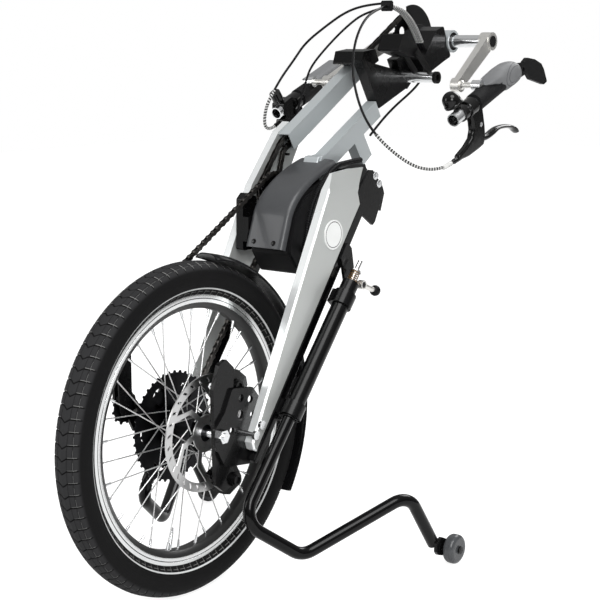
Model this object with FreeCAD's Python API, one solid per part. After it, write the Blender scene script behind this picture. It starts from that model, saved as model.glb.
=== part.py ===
"""Handcycle: the front drive unit that hooks on to a wheelchair.

The frame stands still.  +Z is up, -Y is the way it rides, +X is the rider's left.
The origin is on the floor, straight below the axle of the wheel.
Every size is in millimetres.
"""
import FreeCAD, Part
import math
import os

V = FreeCAD.Vector

# Wheel and tyre
rim_flange_radius = 209.0
tyre_height = 49.0
tyre_radius = rim_flange_radius + tyre_height
tyre_width = 54.0
bead_radius = rim_flange_radius - 5.5
rim_width = 28.0
rim_wall = 2.0
rim_depth = 23.0
rim_inner_radius = rim_flange_radius - rim_depth
spoke_count = 36
spoke_radius = 1.1
hub_barrel_radius = 17.0
hub_flange_radius = 31.0
left_flange_x = 32.0
right_flange_x = -19.0
hub_flange_thickness = 4.0
axle_radius = 6.0
bearing_gap = 0.05

# Disc brake
rotor_radius = 90.0
rotor_band = 14.0
rotor_thickness = 2.0
rotor_x = 40.0
rotor_slots = 30
caliper_gap = 0.6

# Cassette, chains and their sprockets
chain_pitch = 12.7
chain_height = 8.0
chain_width = 6.2
roller_width = 3.6
upper_chain_x = -60.0
cog_teeth = (42, 32, 26, 21, 18, 15, 13, 11)
cog_thickness = 2.0
cog_pitch = 4.7
first_cog_x = -27.0
drive_teeth = 15
motor_teeth = 11
chainring_teeth = 26
tooth_depth = 3.6

# Fork legs and the black posts behind them
leg_centre_x = 79.0
leg_thickness = 16.0
leg_bevel = 2.5
post_depth = 17.0
post_thickness = 13.0
dropout_x = 66.0
dropout_thickness = 5.0

# Box section frame
tube_width = 20.0
tube_height = 30.0
tube_wall = 1.5

# Hand cranks
crank_y = 694.0
crank_z = 839.0
crank_boss_x = 108.0
crank_end_x = 136.0
crank_end_y = 547.0
crank_end_z = 766.0
arm_thickness = 13.0
arm_width = 19.0
spindle_radius = 11.0
shell_radius = 20.0
shell_half = 36.5

# Handles
grip_x = 185.0
bar_radius = 11.0
bar_bore = 9.0
bar_slope = 21.5
bar_front = 105.0
bar_rear = 103.0
pin_radius = 5.0
pin_drop = 17.0
grip_radius = 16.5

# Stand
stand_x = 105.0
stand_outer_radius = 14.0
stand_inner_radius = 10.0
stand_wall = 1.6
slide_gap = 0.08
castor_radius = 24.0
castor_width = 20.0
castor_bore = 4.0

axle_z = tyre_radius


def turn(y, z, angle):
    """A (y, z) direction turned by an angle in degrees, from +Y towards +Z."""
    a = math.radians(angle)
    return (y * math.cos(a) - z * math.sin(a), y * math.sin(a) + z * math.cos(a))


def polygon(points, x):
    """A closed wire in the plane across X, from (y, z) corners."""
    ring = [V(x, y, z) for y, z in points]
    return Part.makePolygon(ring + ring[:1])


def prism(points, x0, x1):
    """A plate with (y, z) corners, from x0 to x1."""
    return Part.Face(polygon(points, x0)).extrude(V(x1 - x0, 0, 0))


def rod(a, b, radius, bore=0.0):
    """A round bar from a to b, or a tube where it has a bore."""
    a, b = V(*a), V(*b)
    run = b - a
    solid = Part.makeCylinder(radius, run.Length, a, run)
    if bore:
        solid = solid.cut(Part.makeCylinder(bore, run.Length, a, run))
    return solid


def cross(x0, x1, y, z, radius, bore=0.0):
    """A round bar or a tube that lies across the unit."""
    return rod((x0, y, z), (x1, y, z), radius, bore)


def beam(a, b, x0, x1, height, wall=0.0):
    """A box section from (y, z) to (y, z); with a wall it is open at both ends."""
    run = math.dist(a, b)
    uy, uz = (b[0] - a[0]) / run, (b[1] - a[1]) / run

    def block(inset, reach):
        h = height / 2 - inset
        at = [(a[0] - uy * reach, a[1] - uz * reach), (b[0] + uy * reach, b[1] + uz * reach)]
        corners = [(at[0][0] - uz * h, at[0][1] + uy * h), (at[1][0] - uz * h, at[1][1] + uy * h),
                   (at[1][0] + uz * h, at[1][1] - uy * h), (at[0][0] + uz * h, at[0][1] - uy * h)]
        return prism(corners, x0 + inset, x1 - inset)

    solid = block(0.0, 0.0)
    if wall:
        solid = solid.cut(block(wall, 1.0))
    return solid


def lathe(profile, y=0.0, z=0.0):
    """A solid turned about a line across the unit, from (x, radius) points."""
    ring = [V(x, y, z + r) for x, r in profile]
    face = Part.Face(Part.makePolygon(ring + ring[:1]))
    return face.revolve(V(0, y, z), V(1, 0, 0), 360)


def other_side(shape):
    """The same piece on the rider's right."""
    return shape.mirror(V(0, 0, 0), V(1, 0, 0))


def rounded(points, radius, x0, x1):
    """A plate whose corners are rounded off."""
    plate = prism(points, x0, x1)
    edges = [e for e in plate.Edges if abs(e.Vertexes[0].X - e.Vertexes[-1].X) > 0.5 * abs(x1 - x0)]
    return plate.makeFillet(radius, edges)


def toothed(teeth, x0, x1, y, z, bore, start=0.0):
    """A chain wheel: four corners a tooth, on the pitch circle of its chain."""
    pitch_radius = chain_pitch / 2 / math.sin(math.pi / teeth)
    points = []
    for k in range(teeth):
        for share, lift in ((-0.25, -0.5), (-0.09, 0.5), (0.09, 0.5), (0.25, -0.5)):
            angle = start + (k + share) * 2 * math.pi / teeth
            r = pitch_radius + lift * tooth_depth
            points.append((y + r * math.cos(angle), z + r * math.sin(angle)))
    return prism(points, x0, x1).cut(cross(x0 - 1, x1 + 1, y, z, bore))


def pitch_radius(teeth):
    return chain_pitch / 2 / math.sin(math.pi / teeth)


def belt(circles):
    """The line of a chain round circles (y, z, radius, side): points every half millimetre."""
    runs = []
    for i, (y0, z0, r0, s0) in enumerate(circles):
        y1, z1, r1, s1 = circles[(i + 1) % len(circles)]
        run = math.dist((y0, z0), (y1, z1))
        base = math.atan2(z1 - z0, y1 - y0)
        lean = math.asin((s1 * r1 - s0 * r0) / run)
        heading = base - lean
        ny, nz = -math.sin(heading), math.cos(heading)
        runs.append(((y0 - s0 * r0 * ny, z0 - s0 * r0 * nz), (y1 - s1 * r1 * ny, z1 - s1 * r1 * nz)))
    points = []
    for i, (y, z, r, s) in enumerate(circles):
        arrive, leave = runs[i - 1][1], runs[i][0]
        a0 = math.atan2(arrive[1] - z, arrive[0] - y)
        a1 = math.atan2(leave[1] - z, leave[0] - y)
        sweep = (a1 - a0) * s % (2 * math.pi)
        steps = max(2, int(sweep * r * 2))
        points += [(y + r * math.cos(a0 + s * sweep * k / steps), z + r * math.sin(a0 + s * sweep * k / steps))
                   for k in range(steps)]
        span = math.dist(*runs[i])
        steps = int(span * 2)
        points += [(runs[i][0][0] + (runs[i][1][0] - runs[i][0][0]) * k / steps,
                    runs[i][0][1] + (runs[i][1][1] - runs[i][0][1]) * k / steps) for k in range(steps)]
    return points


def chain(circles, x):
    """Rollers on a belt line with pairs of plates between them, inner and outer pairs by turns."""
    line = belt(circles)
    steps = [math.dist(line[k], line[(k + 1) % len(line)]) for k in range(len(line))]
    total = sum(steps)
    count = 2 * round(total / chain_pitch / 2)
    pitch = total / count
    joints = []
    walked, k = 0.0, 0
    for n in range(count):
        while walked + steps[k] < n * pitch:
            walked += steps[k]
            k += 1
        share = (n * pitch - walked) / steps[k]
        (y0, z0), (y1, z1) = line[k], line[(k + 1) % len(line)]
        joints.append((y0 + (y1 - y0) * share, z0 + (z1 - z0) * share))
    solids = []
    h = chain_height / 2
    inside, middle, outside = chain_width * 0.24, chain_width * 0.37, chain_width / 2
    for n in range(count):
        (y0, z0), (y1, z1) = joints[n], joints[(n + 1) % count]
        d = math.dist((y0, z0), (y1, z1))
        uy, uz = (y1 - y0) / d, (z1 - z0) / d

        def place(points):
            return [(y0 + uy * along - uz * up, z0 + uz * along + uy * up) for along, up in points]

        plate = place([(-h, 0), (-h / 2, h), (d + h / 2, h), (d + h, 0), (d + h / 2, -h), (-h / 2, -h)])
        near, far = (inside, middle) if n % 2 else (middle, outside)
        solids.append(prism(plate, x + near, x + far))
        solids.append(prism(plate, x - far, x - near))
        w = roller_width / 2
        solids.append(prism(place([(-w, 0), (0, w), (w, 0), (0, -w)]), x - inside, x + inside))
    print("chain at", round(x, 1), "links", count, "pitch", round(pitch, 3))
    return solids, joints


def in_step(joints, y, z, teeth):
    """The turn that puts a chain wheel's gaps under the rollers that lie round it."""
    r = pitch_radius(teeth)
    near = [math.atan2(b - z, a - y) for a, b in joints if abs(math.dist((a, b), (y, z)) - r) < 0.4]
    s = sum(math.sin(a * teeth) for a in near)
    c = sum(math.cos(a * teeth) for a in near)
    return (math.atan2(s, c) - math.pi) / teeth


def tyre():
    """A closed tyre section: two beads, swelling sidewalls and a shallow crown."""
    seat = rim_width / 2 - rim_wall - 0.2
    half = tyre_width / 2

    def at(x, r):
        return V(x, 0, axle_z + r)

    bead, lip = bead_radius + 0.2, rim_flange_radius + 0.8
    edges = [
        Part.LineSegment(at(-seat, bead), at(seat, bead)).toShape(),
        Part.LineSegment(at(seat, bead), at(seat, lip)).toShape(),
        Part.Arc(at(seat, lip), at(half - 2.0, lip + 11), at(half - 2.5, tyre_radius - 17)).toShape(),
        Part.Arc(at(half - 2.5, tyre_radius - 17), at(half - 4.5, tyre_radius - 9), at(half - 9.0, tyre_radius - 4)).toShape(),
        Part.Arc(at(half - 9.0, tyre_radius - 4), at(0, tyre_radius), at(9.0 - half, tyre_radius - 4)).toShape(),
        Part.Arc(at(9.0 - half, tyre_radius - 4), at(4.5 - half, tyre_radius - 9), at(2.5 - half, tyre_radius - 17)).toShape(),
        Part.Arc(at(2.5 - half, tyre_radius - 17), at(2.0 - half, lip + 11), at(-seat, lip)).toShape(),
        Part.LineSegment(at(-seat, lip), at(-seat, bead)).toShape(),
    ]
    return Part.Face(Part.Wire(edges)).revolve(V(0, 0, axle_z), V(1, 0, 0), 360)


def rim():
    half = rim_width / 2
    lip = half - rim_wall
    well = half - 5.0
    return lathe([(-half, rim_flange_radius), (-lip, rim_flange_radius), (-lip, bead_radius), (lip, bead_radius),
                  (lip, rim_flange_radius), (half, rim_flange_radius), (half, rim_flange_radius - 13),
                  (well, rim_inner_radius), (-well, rim_inner_radius), (-half, rim_flange_radius - 13)], 0, axle_z)


def spoke_ends(k):
    """One spoke: flanges take turns, and pairs lean forwards and backwards to cross."""
    side = 1 if k % 2 else -1
    lean = 1 if (k // 2) % 2 else -1
    at_rim = math.radians(k * 360.0 / spoke_count + 4.0)
    at_hub = at_rim + lean * math.radians(58.0)
    r_hub, r_rim = hub_flange_radius - 3.0, rim_inner_radius + 0.5
    flange = left_flange_x if side > 0 else right_flange_x
    a = (flange + lean * (hub_flange_thickness / 2 + spoke_radius), r_hub * math.cos(at_hub), axle_z + r_hub * math.sin(at_hub))
    b = (side * 3.0, r_rim * math.cos(at_rim), axle_z + r_rim * math.sin(at_rim))
    return a, b


def spokes():
    return [rod(*spoke_ends(k), spoke_radius) for k in range(spoke_count)]


def hub():
    """Barrel, two spoke flanges and the seat of the brake disc."""
    f, h = hub_flange_thickness / 2, hub_barrel_radius
    left, right = left_flange_x, right_flange_x
    outer = [(right - f - 2, h), (right - f, hub_flange_radius), (right + f, hub_flange_radius), (right + f + 3, h),
             (left - f - 3, h), (left - f, hub_flange_radius), (left + f, hub_flange_radius), (left + f + 1, 22.0),
             (rotor_x - rotor_thickness / 2, 22.0)]
    bore = axle_radius + bearing_gap
    ends = [(outer[-1][0], bore), (outer[0][0], bore)]
    return lathe(outer + ends, 0, axle_z)


def rotor():
    """Slotted band, six leaning arms and a centre ring."""
    x0, x1 = rotor_x - rotor_thickness / 2, rotor_x + rotor_thickness / 2
    inner = rotor_radius - rotor_band
    disc = cross(x0, x1, 0, axle_z, rotor_radius, inner)
    centre = cross(x0, x1, 0, axle_z, 29.0, 13.0)
    solid = disc.fuse(centre)
    for k in range(6):
        a = k * 60.0
        points = [turn(r, 0, a + lead) for r, lead in ((27, -9), (52, 6), (inner + 2, 30), (inner + 2, 38), (52, 16), (27, 9))]
        solid = solid.fuse(prism([(y, axle_z + z) for y, z in points], x0, x1))
    for k in range(rotor_slots):
        a = k * 360.0 / rotor_slots
        r0, r1 = inner + 3.0, rotor_radius - 3.5
        points = [turn(r, 0, a + lead) for r, lead in ((r0, 0.0), (r1, 3.4), (r1, 6.4), (r0, 3.0))]
        solid = solid.cut(prism([(y, axle_z + z) for y, z in points], x0 - 1, x1 + 1))
    return solid


def caliper(angle, knob_length):
    """A brake body astride the disc, with the round cover of its pad adjuster."""
    def place(points):
        return [(y, axle_z + z) for y, z in (turn(r, t, angle) for r, t in points)]

    reach = rotor_radius + 2.0
    block = [(rotor_radius - 24, -20), (rotor_radius - 24, 20), (rotor_radius + 6, 23), (rotor_radius + 15, 12),
             (rotor_radius + 15, -12), (rotor_radius + 6, -23)]
    body = prism(place(block), rotor_x - 11.5, caliper_outer_x)
    slot = rotor_thickness / 2 + caliper_gap
    body = body.cut(cross(rotor_x - slot, rotor_x + slot, 0, axle_z, reach))
    cy, cz = place([(rotor_radius - 7, 0)])[0]
    knob = cross(caliper_outer_x, caliper_outer_x + knob_length, cy, cz, 11.0)
    ring_cover = cross(caliper_outer_x + knob_length, caliper_outer_x + knob_length + 3, cy, cz, 8.5, 5.5)
    return body, knob.fuse(ring_cover)


working_cog = 4
lower_chain_x = first_cog_x - working_cog * cog_pitch - cog_thickness / 2
bracket_outer_x = dropout_x
bracket_thickness = 7.0
caliper_outer_x = bracket_outer_x - bracket_thickness

parts = {}
parts["tyre"] = [tyre()]
parts["rim"] = [rim()]
hub_body = hub()
parts["spokes"] = [max(s.cut(hub_body).cut(parts["rim"][0]).Solids, key=lambda piece: piece.Volume) for s in spokes()]
parts["hub_shell"] = [hub_body]
parts["brake_disc"] = [rotor()]

valve_angle = -103.0
vy, vz = turn(1, 0, valve_angle)
parts["rim"].append(rod((0, vy * (rim_inner_radius - 34), axle_z + vz * (rim_inner_radius - 34)),
                            (0, vy * (rim_inner_radius - 0.1), axle_z + vz * (rim_inner_radius - 0.1)), 3.0))

freehub_radius = 16.5
jack_y, jack_z = 274.0, 595.0
tube_low, tube_high = (325.0, 674.0), (520.0, 789.0)
tube_run = math.dist(tube_low, tube_high)
tube_uy, tube_uz = (tube_high[0] - tube_low[0]) / tube_run, (tube_high[1] - tube_low[1]) / tube_run


def off_tube(end, along, below):
    """A (y, z) point measured from an end of the chain tube, along it and below its axis."""
    return (end[0] + tube_uy * along + tube_uz * below, end[1] + tube_uz * along - tube_uy * below)


guide_shoes = {"low_over": (*off_tube(tube_low, -12, 0), 8.0, 1), "low_under": (*off_tube(tube_low, -12, 17), 9.0, -1),
               "high_under": (*off_tube(tube_high, 10, 17), 9.0, -1)}
cog_on = cog_teeth[working_cog]
upper_pulley = (-90.0, 394.0)
lower_pulley = (-86.0, 300.0)
lower_links, lower_joints = chain([(jack_y, jack_z, pitch_radius(drive_teeth), 1), (*upper_pulley, pitch_radius(motor_teeth), 1),
                                   (*lower_pulley, pitch_radius(motor_teeth), -1), (0, axle_z, pitch_radius(cog_on), 1)],
                                  lower_chain_x)
upper_links, upper_joints = chain([(crank_y, crank_z, pitch_radius(chainring_teeth), 1), guide_shoes["low_over"],
                                   (jack_y, jack_z, pitch_radius(motor_teeth), 1), guide_shoes["low_under"],
                                   guide_shoes["high_under"]], upper_chain_x)
parts["lower_chain"] = lower_links
parts["upper_chain"] = upper_links

cassette = []
for i, teeth in enumerate(cog_teeth):
    x1 = first_cog_x - i * cog_pitch
    start = in_step(lower_joints, 0, axle_z, teeth) if i == working_cog else 0.1 * i
    cog = toothed(teeth, x1 - cog_thickness, x1, 0, axle_z, freehub_radius + 0.01, start)
    if teeth > 30:
        for k in range(6):
            wy, wz = turn(pitch_radius(teeth) * 0.66, 0, k * 60.0 + 20 * i)
            cog = cog.cut(cross(x1 - cog_thickness - 1, x1 + 1, wy, axle_z + wz, pitch_radius(teeth) * 0.19))
    cassette.append(cog)
last_cog_x = first_cog_x - (len(cog_teeth) - 1) * cog_pitch - cog_thickness
parts["cassette"] = cassette
parts["cassette"] += [
    cross(last_cog_x, first_cog_x + 2.5, 0, axle_z, freehub_radius, axle_radius + bearing_gap),
    cross(last_cog_x - 2.0, last_cog_x, 0, axle_z, 18.5, axle_radius + bearing_gap)]

leg_inner = leg_centre_x - leg_thickness / 2
leg_outer = leg_centre_x + leg_thickness / 2
dropout_outer = dropout_x + dropout_thickness
parts["axle_and_bolts"] = [cross(-dropout_outer - 9, dropout_outer + 9, 0, axle_z, axle_radius)]
nuts = []
for side in (-1, 1):
    hexagon = [(11 * math.cos(k * math.pi / 3), axle_z + 11 * math.sin(k * math.pi / 3)) for k in range(6)]
    nut = prism(hexagon, dropout_outer, dropout_outer + 7).cut(cross(0, 200, 0, axle_z, axle_radius + 0.02))
    nuts.append(nut if side > 0 else other_side(nut))
parts["axle_and_bolts"] += nuts


def dropout():
    """The plate that bolts inside a leg's foot and holds the axle."""
    outline = [(-15, 246), (-15, 270), (8, 292), (26, 326), (74, 320), (98, 292), (80, 234), (68, 200), (8, 208)]
    plate = rounded(outline, 6.0, dropout_x, dropout_outer)
    for y, z, r in ((46, 308, 6), (68, 302, 6), (44, 283, 7), (24, 262, 5), (72, 277, 5)):
        plate = plate.cut(cross(dropout_x - 1, dropout_outer + 1, y, z, r))
    return plate.cut(cross(dropout_x - 1, dropout_outer + 1, 0, axle_z, axle_radius + 0.02))


left_dropout = dropout()
parts["dropouts"] = [left_dropout, other_side(left_dropout)]
hanger = rounded([(-8, 250), (-8, 268), (-60, 322), (-82, 322), (-88, 306), (-66, 292), (-44, 252)], 4.0, -dropout_outer, -dropout_x)
parts["dropouts"].append(hanger.cut(other_side(left_dropout)))

upper_body, upper_knob = caliper(53.0, 3.5)
lower_body, lower_knob = caliper(-66.0, 12.0)
parts["brake_calipers"] = [upper_body, upper_knob, lower_body, lower_knob]
bracket = rounded([(-8, 182), (-12, 330), (2, 366), (18, 372), (36, 356), (34, 326), (25, 300), (20, 240), (34, 196),
                   (28, 172), (10, 168)], 4.0, caliper_outer_x, bracket_outer_x)
bracket = bracket.cut(cross(50, 80, 0, axle_z, axle_radius + 4))
for knob in (upper_knob, lower_knob):
    box = knob.BoundBox
    bracket = bracket.cut(cross(50, 90, box.Center.y, box.Center.z, 11.5))
parts["caliper_bracket"] = [bracket]


def leg(top):
    """A flat tapered fork leg: slim at the foot, deep at the top, bevelled all round outside."""
    foot = [(69, 229), (65, 222), (58, 226), (54, 238)]
    rear = [(334, 578)]
    outline = [(248, 608)] + top + rear + foot
    plate = prism(outline, leg_inner, leg_outer)
    outside = [e for e in plate.Edges if all(abs(v.X - leg_outer) < 0.01 for v in e.Vertexes)]
    return plate.makeChamfer(leg_bevel, outside)


left_top = [(270, 632), (317, 636), (358, 636), (333, 612), (328, 598)]
left_leg = leg(left_top)
facet_low, facet_high = 604.0, 637.0
facet = Part.makePolygon([V(leg_outer + 0.5, 200, facet_low), V(leg_outer + 0.5, 200, facet_high + 3),
                          V(leg_inner + 1.5, 200, facet_high + 3), V(leg_outer + 0.5, 200, facet_low)])
left_leg = left_leg.cut(Part.Face(facet).extrude(V(0, 200, 0)))
parts["left_fork_leg"] = [left_leg]
parts["right_fork_leg"] = [other_side(leg([(318, 690), (346, 706), (372, 664), (340, 612), (330, 598)]))]
disc_y, disc_z, disc_radius = 258.0, 536.0, 24.0
parts["left_fork_leg"].append(cross(leg_outer, leg_outer + 1.5, disc_y, disc_z, disc_radius))

slope = math.dist((69, 229), (334, 578))
ey, ez = (334 - 69) / slope, (578 - 229) / slope
post_gap = 0.3
post_front = (69 + ez * post_gap, 229 - ey * post_gap)


def along_post(s, depth):
    return (post_front[0] + ey * s + ez * depth, post_front[1] + ez * s - ey * depth)


post_outline = [along_post(-22, 3), along_post(slope - 6, 0), along_post(slope - 6, post_depth),
                along_post(-14, post_depth), along_post(-24, 10)]
post_x0 = leg_centre_x - post_thickness / 2
post_x1 = leg_centre_x + post_thickness / 2
post = prism(post_outline, post_x0, post_x1)
parts["posts"] = [post, other_side(post)]
for name, shape in (("left_fork_leg", post), ("right_fork_leg", other_side(post))):
    parts[name][0] = parts[name][0].cut(shape)

leg_bolts = []
for y, z in ((73, 263), (58, 250)):
    bolt = cross(dropout_outer, leg_outer + 3, y, z, 4.0).fuse(cross(leg_outer, leg_outer + 5, y, z, 7.0))
    leg_bolts += [bolt, other_side(bolt)]
parts["axle_and_bolts"] += leg_bolts
hole_tools = [cross(0, 120, y, z, 4.0) for y, z in ((73, 263), (58, 250))]
for tool in hole_tools:
    parts["left_fork_leg"][0] = parts["left_fork_leg"][0].cut(tool)
    parts["right_fork_leg"][0] = parts["right_fork_leg"][0].cut(other_side(tool))
    parts["dropouts"][0] = parts["dropouts"][0].cut(tool)
    parts["dropouts"][1] = parts["dropouts"][1].cut(other_side(tool))

# Frame: chain tube beside the right leg, lower tube and brace in the middle
chain_tube_x0, chain_tube_x1 = -leg_inner, -leg_inner + tube_width + 2
parts["chain_tube"] = [beam(tube_low, tube_high, chain_tube_x0, chain_tube_x1, tube_height, tube_wall)]
half = tube_width / 2
head_outline = [(444, 808), (555, 789), (566, 778), (583, 758), (497, 725)]
head_plate = prism(head_outline, -half, half)
lower_tube = beam((346, 641), (494, 724), -half, half, tube_height)
brace = beam((432, 684), (463, 638), -half, half, tube_height)
brace_cut = beam((415, 709), (463, 638), -half - 40, half + 40, tube_height)
boss = cross(-half - 2, half + 2, 338, 641, 13.0)
lower_tube = lower_tube.cut(boss).cut(head_plate)
brace = brace.cut(lower_tube)
parts["lower_tube"] = [lower_tube, boss, brace]
parts["head_plate"] = [head_plate]
cross_tube = rounded([(322, 604), (346, 604), (346, 627), (322, 627)], 3.0, -leg_inner, leg_inner)
parts["cross_tube"] = [cross_tube.cut(boss)]
cap = rounded([(470, 800), (478, 822), (512, 826), (524, 806), (503, 797)], 2.0, chain_tube_x0, -half)
tube_block = beam(tube_low, off_tube(tube_high, 46, 0), chain_tube_x0 - 1, chain_tube_x1 + 1, tube_height)
parts["head_plate"].append(cap.cut(tube_block))

shell = cross(-shell_half, shell_half, crank_y, crank_z, shell_radius, spindle_radius + 5)
parts["crank_shell"] = [shell]
clamp_outline = [(598, 808), (598, 774), (634, 790), (668, 804), (690, 812), (664, 866), (640, 858)]
clamp = rounded(clamp_outline, 4.0, -shell_half + 4, shell_half - 3)
neck_outline = [(548, 808), (566, 778), (584, 756), (610, 778), (640, 800), (644, 850), (600, 826)]
clamp = clamp.fuse(prism(neck_outline, -half, half))
clamp = clamp.cut(cross(-50, 50, crank_y, crank_z, shell_radius)).cut(head_plate)
parts["shell_clamp"] = [clamp]
bearings = [cross(s * shell_half - (12 if s > 0 else 0), s * shell_half + (0 if s > 0 else 12), crank_y, crank_z,
                  spindle_radius + 5, spindle_radius + bearing_gap) for s in (-1, 1)]
parts["crank_shell"] += bearings
parts["crank_spindle"] = [cross(-crank_boss_x - 5, crank_boss_x + 5, crank_y, crank_z, spindle_radius)]


def crank_arm():
    """A tapered arm that leans outwards, with a boss at each end."""
    a = V(crank_boss_x, crank_y, crank_z)
    b = V(crank_end_x, crank_end_y, crank_end_z)
    run = b.sub(a)
    run.normalize()
    flat = V(1, 0, 0).cross(run)
    flat.normalize()
    out = run.cross(flat)

    def section(at, width, thick):
        w, t = flat * (width / 2), out * (thick / 2)
        c = [at + w + t, at - w + t, at - w - t, at + w - t]
        return Part.makePolygon(c + c[:1])

    arm = Part.makeLoft([section(a, arm_width + 8, arm_thickness), section(b, arm_width, arm_thickness - 1)], True, True)
    inner = cross(crank_boss_x - 11, crank_boss_x + 10, crank_y, crank_z, 16.0)
    outer = cross(crank_end_x - 8, crank_end_x + 8, crank_end_y, crank_end_z, 12.0)
    arm = arm.fuse(inner).fuse(outer)
    arm = arm.cut(cross(0, crank_boss_x + 5, crank_y, crank_z, spindle_radius))
    return arm.cut(cross(0, 200, crank_end_y, crank_end_z, pin_radius + 3))


dust_cap = cross(crank_boss_x + 5.1, crank_boss_x + 11, crank_y, crank_z, 10.0)
arm = crank_arm().cut(dust_cap)
parts["crank_arms"] = [arm, other_side(arm)]
parts["crank_arms"] += [dust_cap, other_side(dust_cap)]
ring = toothed(chainring_teeth, upper_chain_x - cog_thickness / 2, upper_chain_x + cog_thickness / 2, crank_y, crank_z,
               spindle_radius, in_step(upper_joints, crank_y, crank_z, chainring_teeth))
for k in range(5):
    wy, wz = turn(30.0, 0, k * 72.0)
    ring = ring.cut(cross(upper_chain_x - 3, upper_chain_x + 3, crank_y + wy, crank_z + wz, 9.0))
parts["chainring"] = [ring]
guard_radius = pitch_radius(chainring_teeth) + 14
guard = cross(upper_chain_x + 7, upper_chain_x + 9.5, crank_y, crank_z, guard_radius, 30.0)
guard = guard.cut(prism([(400, 700), (crank_y + 12, 700), (crank_y - 40, 1000), (400, 1000)], -70, -40))
bridge = cross(-shell_half - 14, -shell_half, crank_y, crank_z, 31.0, shell_radius - 2)
parts["chain_guard"] = [guard.fuse(bridge)]

parts["accessory_tube"] = [cross(half, 72, 577, 777, 9.5, 7.5)]
parts["accessory_tube"] += [cross(72, 78, 577, 777, 10.5, 6.0)]
links = [beam((534, 824), (580, 785), x, x + 4, 11).cut(cross(0, 75, 577, 777, 9.5)) for x in (28, 58)]
parts["display_mount"] = links
pod = rounded([(482, 824), (498, 852), (508, 850), (548, 826), (536, 812)], 3.0, 14, 57.5)
parts["display_mount"] += [pod.cut(prism([(500, 800), (580, 800), (580, 840), (500, 840)], 27.5, 32.5))]
print("frame pieces", len(parts))

# Motor unit between the legs, with the jackshaft that both chains meet on
motor_left, motor_right = 33.0, -40.0
shaft_radius = 8.0
shaft_seat = 6.0
housing_outline = [(208, 505), (222, 565), (252, 600), (305, 618), (318, 598), (320, 500), (290, 470), (232, 470)]
housing = rounded(housing_outline, 9.0, motor_right, motor_left)
housing = housing.cut(cross(motor_right - 1, motor_right + shaft_seat, jack_y, jack_z, shaft_radius + bearing_gap))
parts["motor_housing"] = [housing]
skin = 2.5
outer_line = [(193, 514), (204, 546), (216, 580), (248, 610), (302, 637), (336, 646)]
inner_line = [(330, 640), (303, 633), (253, 606), (220, 577), (208, 544), (197, 514)]
shield = prism(outer_line + inner_line, motor_right - 2, motor_left + 2)
posts = cross(-30, -24, 228, 577, 6.0).fuse(cross(17, 23, 228, 577, 6.0))
shield = shield.cut(boss)
parts["motor_cover"] = [shield]
end_cap = rounded([(212, 508), (226, 562), (254, 594), (303, 611), (311, 594), (313, 503), (287, 477), (235, 477)], 9.0,
                  motor_left, motor_left + 3)
parts["motor_housing"].append(end_cap)
cover_feet = [prism([(214, 540), (226, 560), (222, 571), (209, 545)], x, x + 8) for x in (-34, 20)]
cover_feet += [prism([(248, 596), (300, 614), (300, 634), (250, 607)], x, x + 8) for x in (-34, 20)]
parts["motor_brackets"] = [f.cut(housing).cut(shield) for f in cover_feet]
parts["motor_brackets"] += [rounded([(296, 612), (300, 645), (316, 668), (335, 664), (340, 640), (336, 606)], 4.0, -22, 12)
                         .cut(housing).cut(shield).cut(cross_tube).cut(boss)]
parts["jackshaft"] = [cross(upper_chain_x - 5, motor_right + shaft_seat - 1, jack_y, jack_z, shaft_radius)]
half_cog = cog_thickness / 2
parts["jackshaft"] += [
    toothed(drive_teeth, lower_chain_x - half_cog, lower_chain_x + half_cog, jack_y, jack_z, shaft_radius,
            in_step(lower_joints, jack_y, jack_z, drive_teeth)),
    toothed(motor_teeth, upper_chain_x - half_cog, upper_chain_x + half_cog, jack_y, jack_z, shaft_radius,
            in_step(upper_joints, jack_y, jack_z, motor_teeth))]
shoes = []
guide_pin_radius = 2.2
for name, (y, z, r, _) in guide_shoes.items():
    start = -leg_inner if name != "high_under" else -half
    reach = upper_chain_x + (7 if name != "high_under" else -7)
    shoes.append(cross(start, reach, y, z, guide_pin_radius))
parts["chain_guides"] = shoes
case = rounded([(200, 505), (201, 588), (212, 598), (236, 590), (236, 505)], 4.0, -66, -52)
arm_block = prism([(200, 520), (215, 520), (215, 560), (200, 560)], -52, motor_right).cut(housing)
parts["chain_guides"].append(case.fuse(arm_block.cut(shield)))

# Rear derailleur
cage_gap = chain_width / 2 + 0.8
pulley_bolt = 3.0
pulleys = []
for (y, z), start_step in ((upper_pulley, 0), (lower_pulley, 0)):
    pulleys.append(toothed(motor_teeth, lower_chain_x - half_cog, lower_chain_x + half_cog, y, z, pulley_bolt + bearing_gap,
                           in_step(lower_joints, y, z, motor_teeth)))
parts["derailleur_pulleys"] = pulleys
cage_line = [(-104, 398), (-96, 408), (-82, 406), (-74, 392), (-74, 300), (-80, 288), (-94, 288), (-100, 300)]
cage = [rounded(cage_line, 4.0, lower_chain_x - cage_gap - 2, lower_chain_x - cage_gap),
        rounded(cage_line, 4.0, lower_chain_x + cage_gap, lower_chain_x + cage_gap + 2)]
bolts = [cross(lower_chain_x - cage_gap - 3, lower_chain_x + cage_gap + 3, y, z, pulley_bolt) for y, z in (upper_pulley, lower_pulley)]
cage = [c.cut(bolts[0]).cut(bolts[1]) for c in cage]
parts["derailleur_cage"] = cage + bolts
arm_x = lower_chain_x - cage_gap - 3
parts["dropouts"].append(rounded([(-76, 306), (-88, 304), (-100, 390), (-92, 404), (-80, 398)], 4.0, -dropout_x, arm_x))
print("with drive", len(parts))

# Handles: a bar that swings on the crank pin, with grip, hand rest and brake lever
bar_y = crank_end_y + pin_drop * math.sin(math.radians(bar_slope))
bar_z = crank_end_z - pin_drop * math.cos(math.radians(bar_slope))
hub_x = grip_x - grip_radius - 1
pin_end = grip_x - 1


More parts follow.
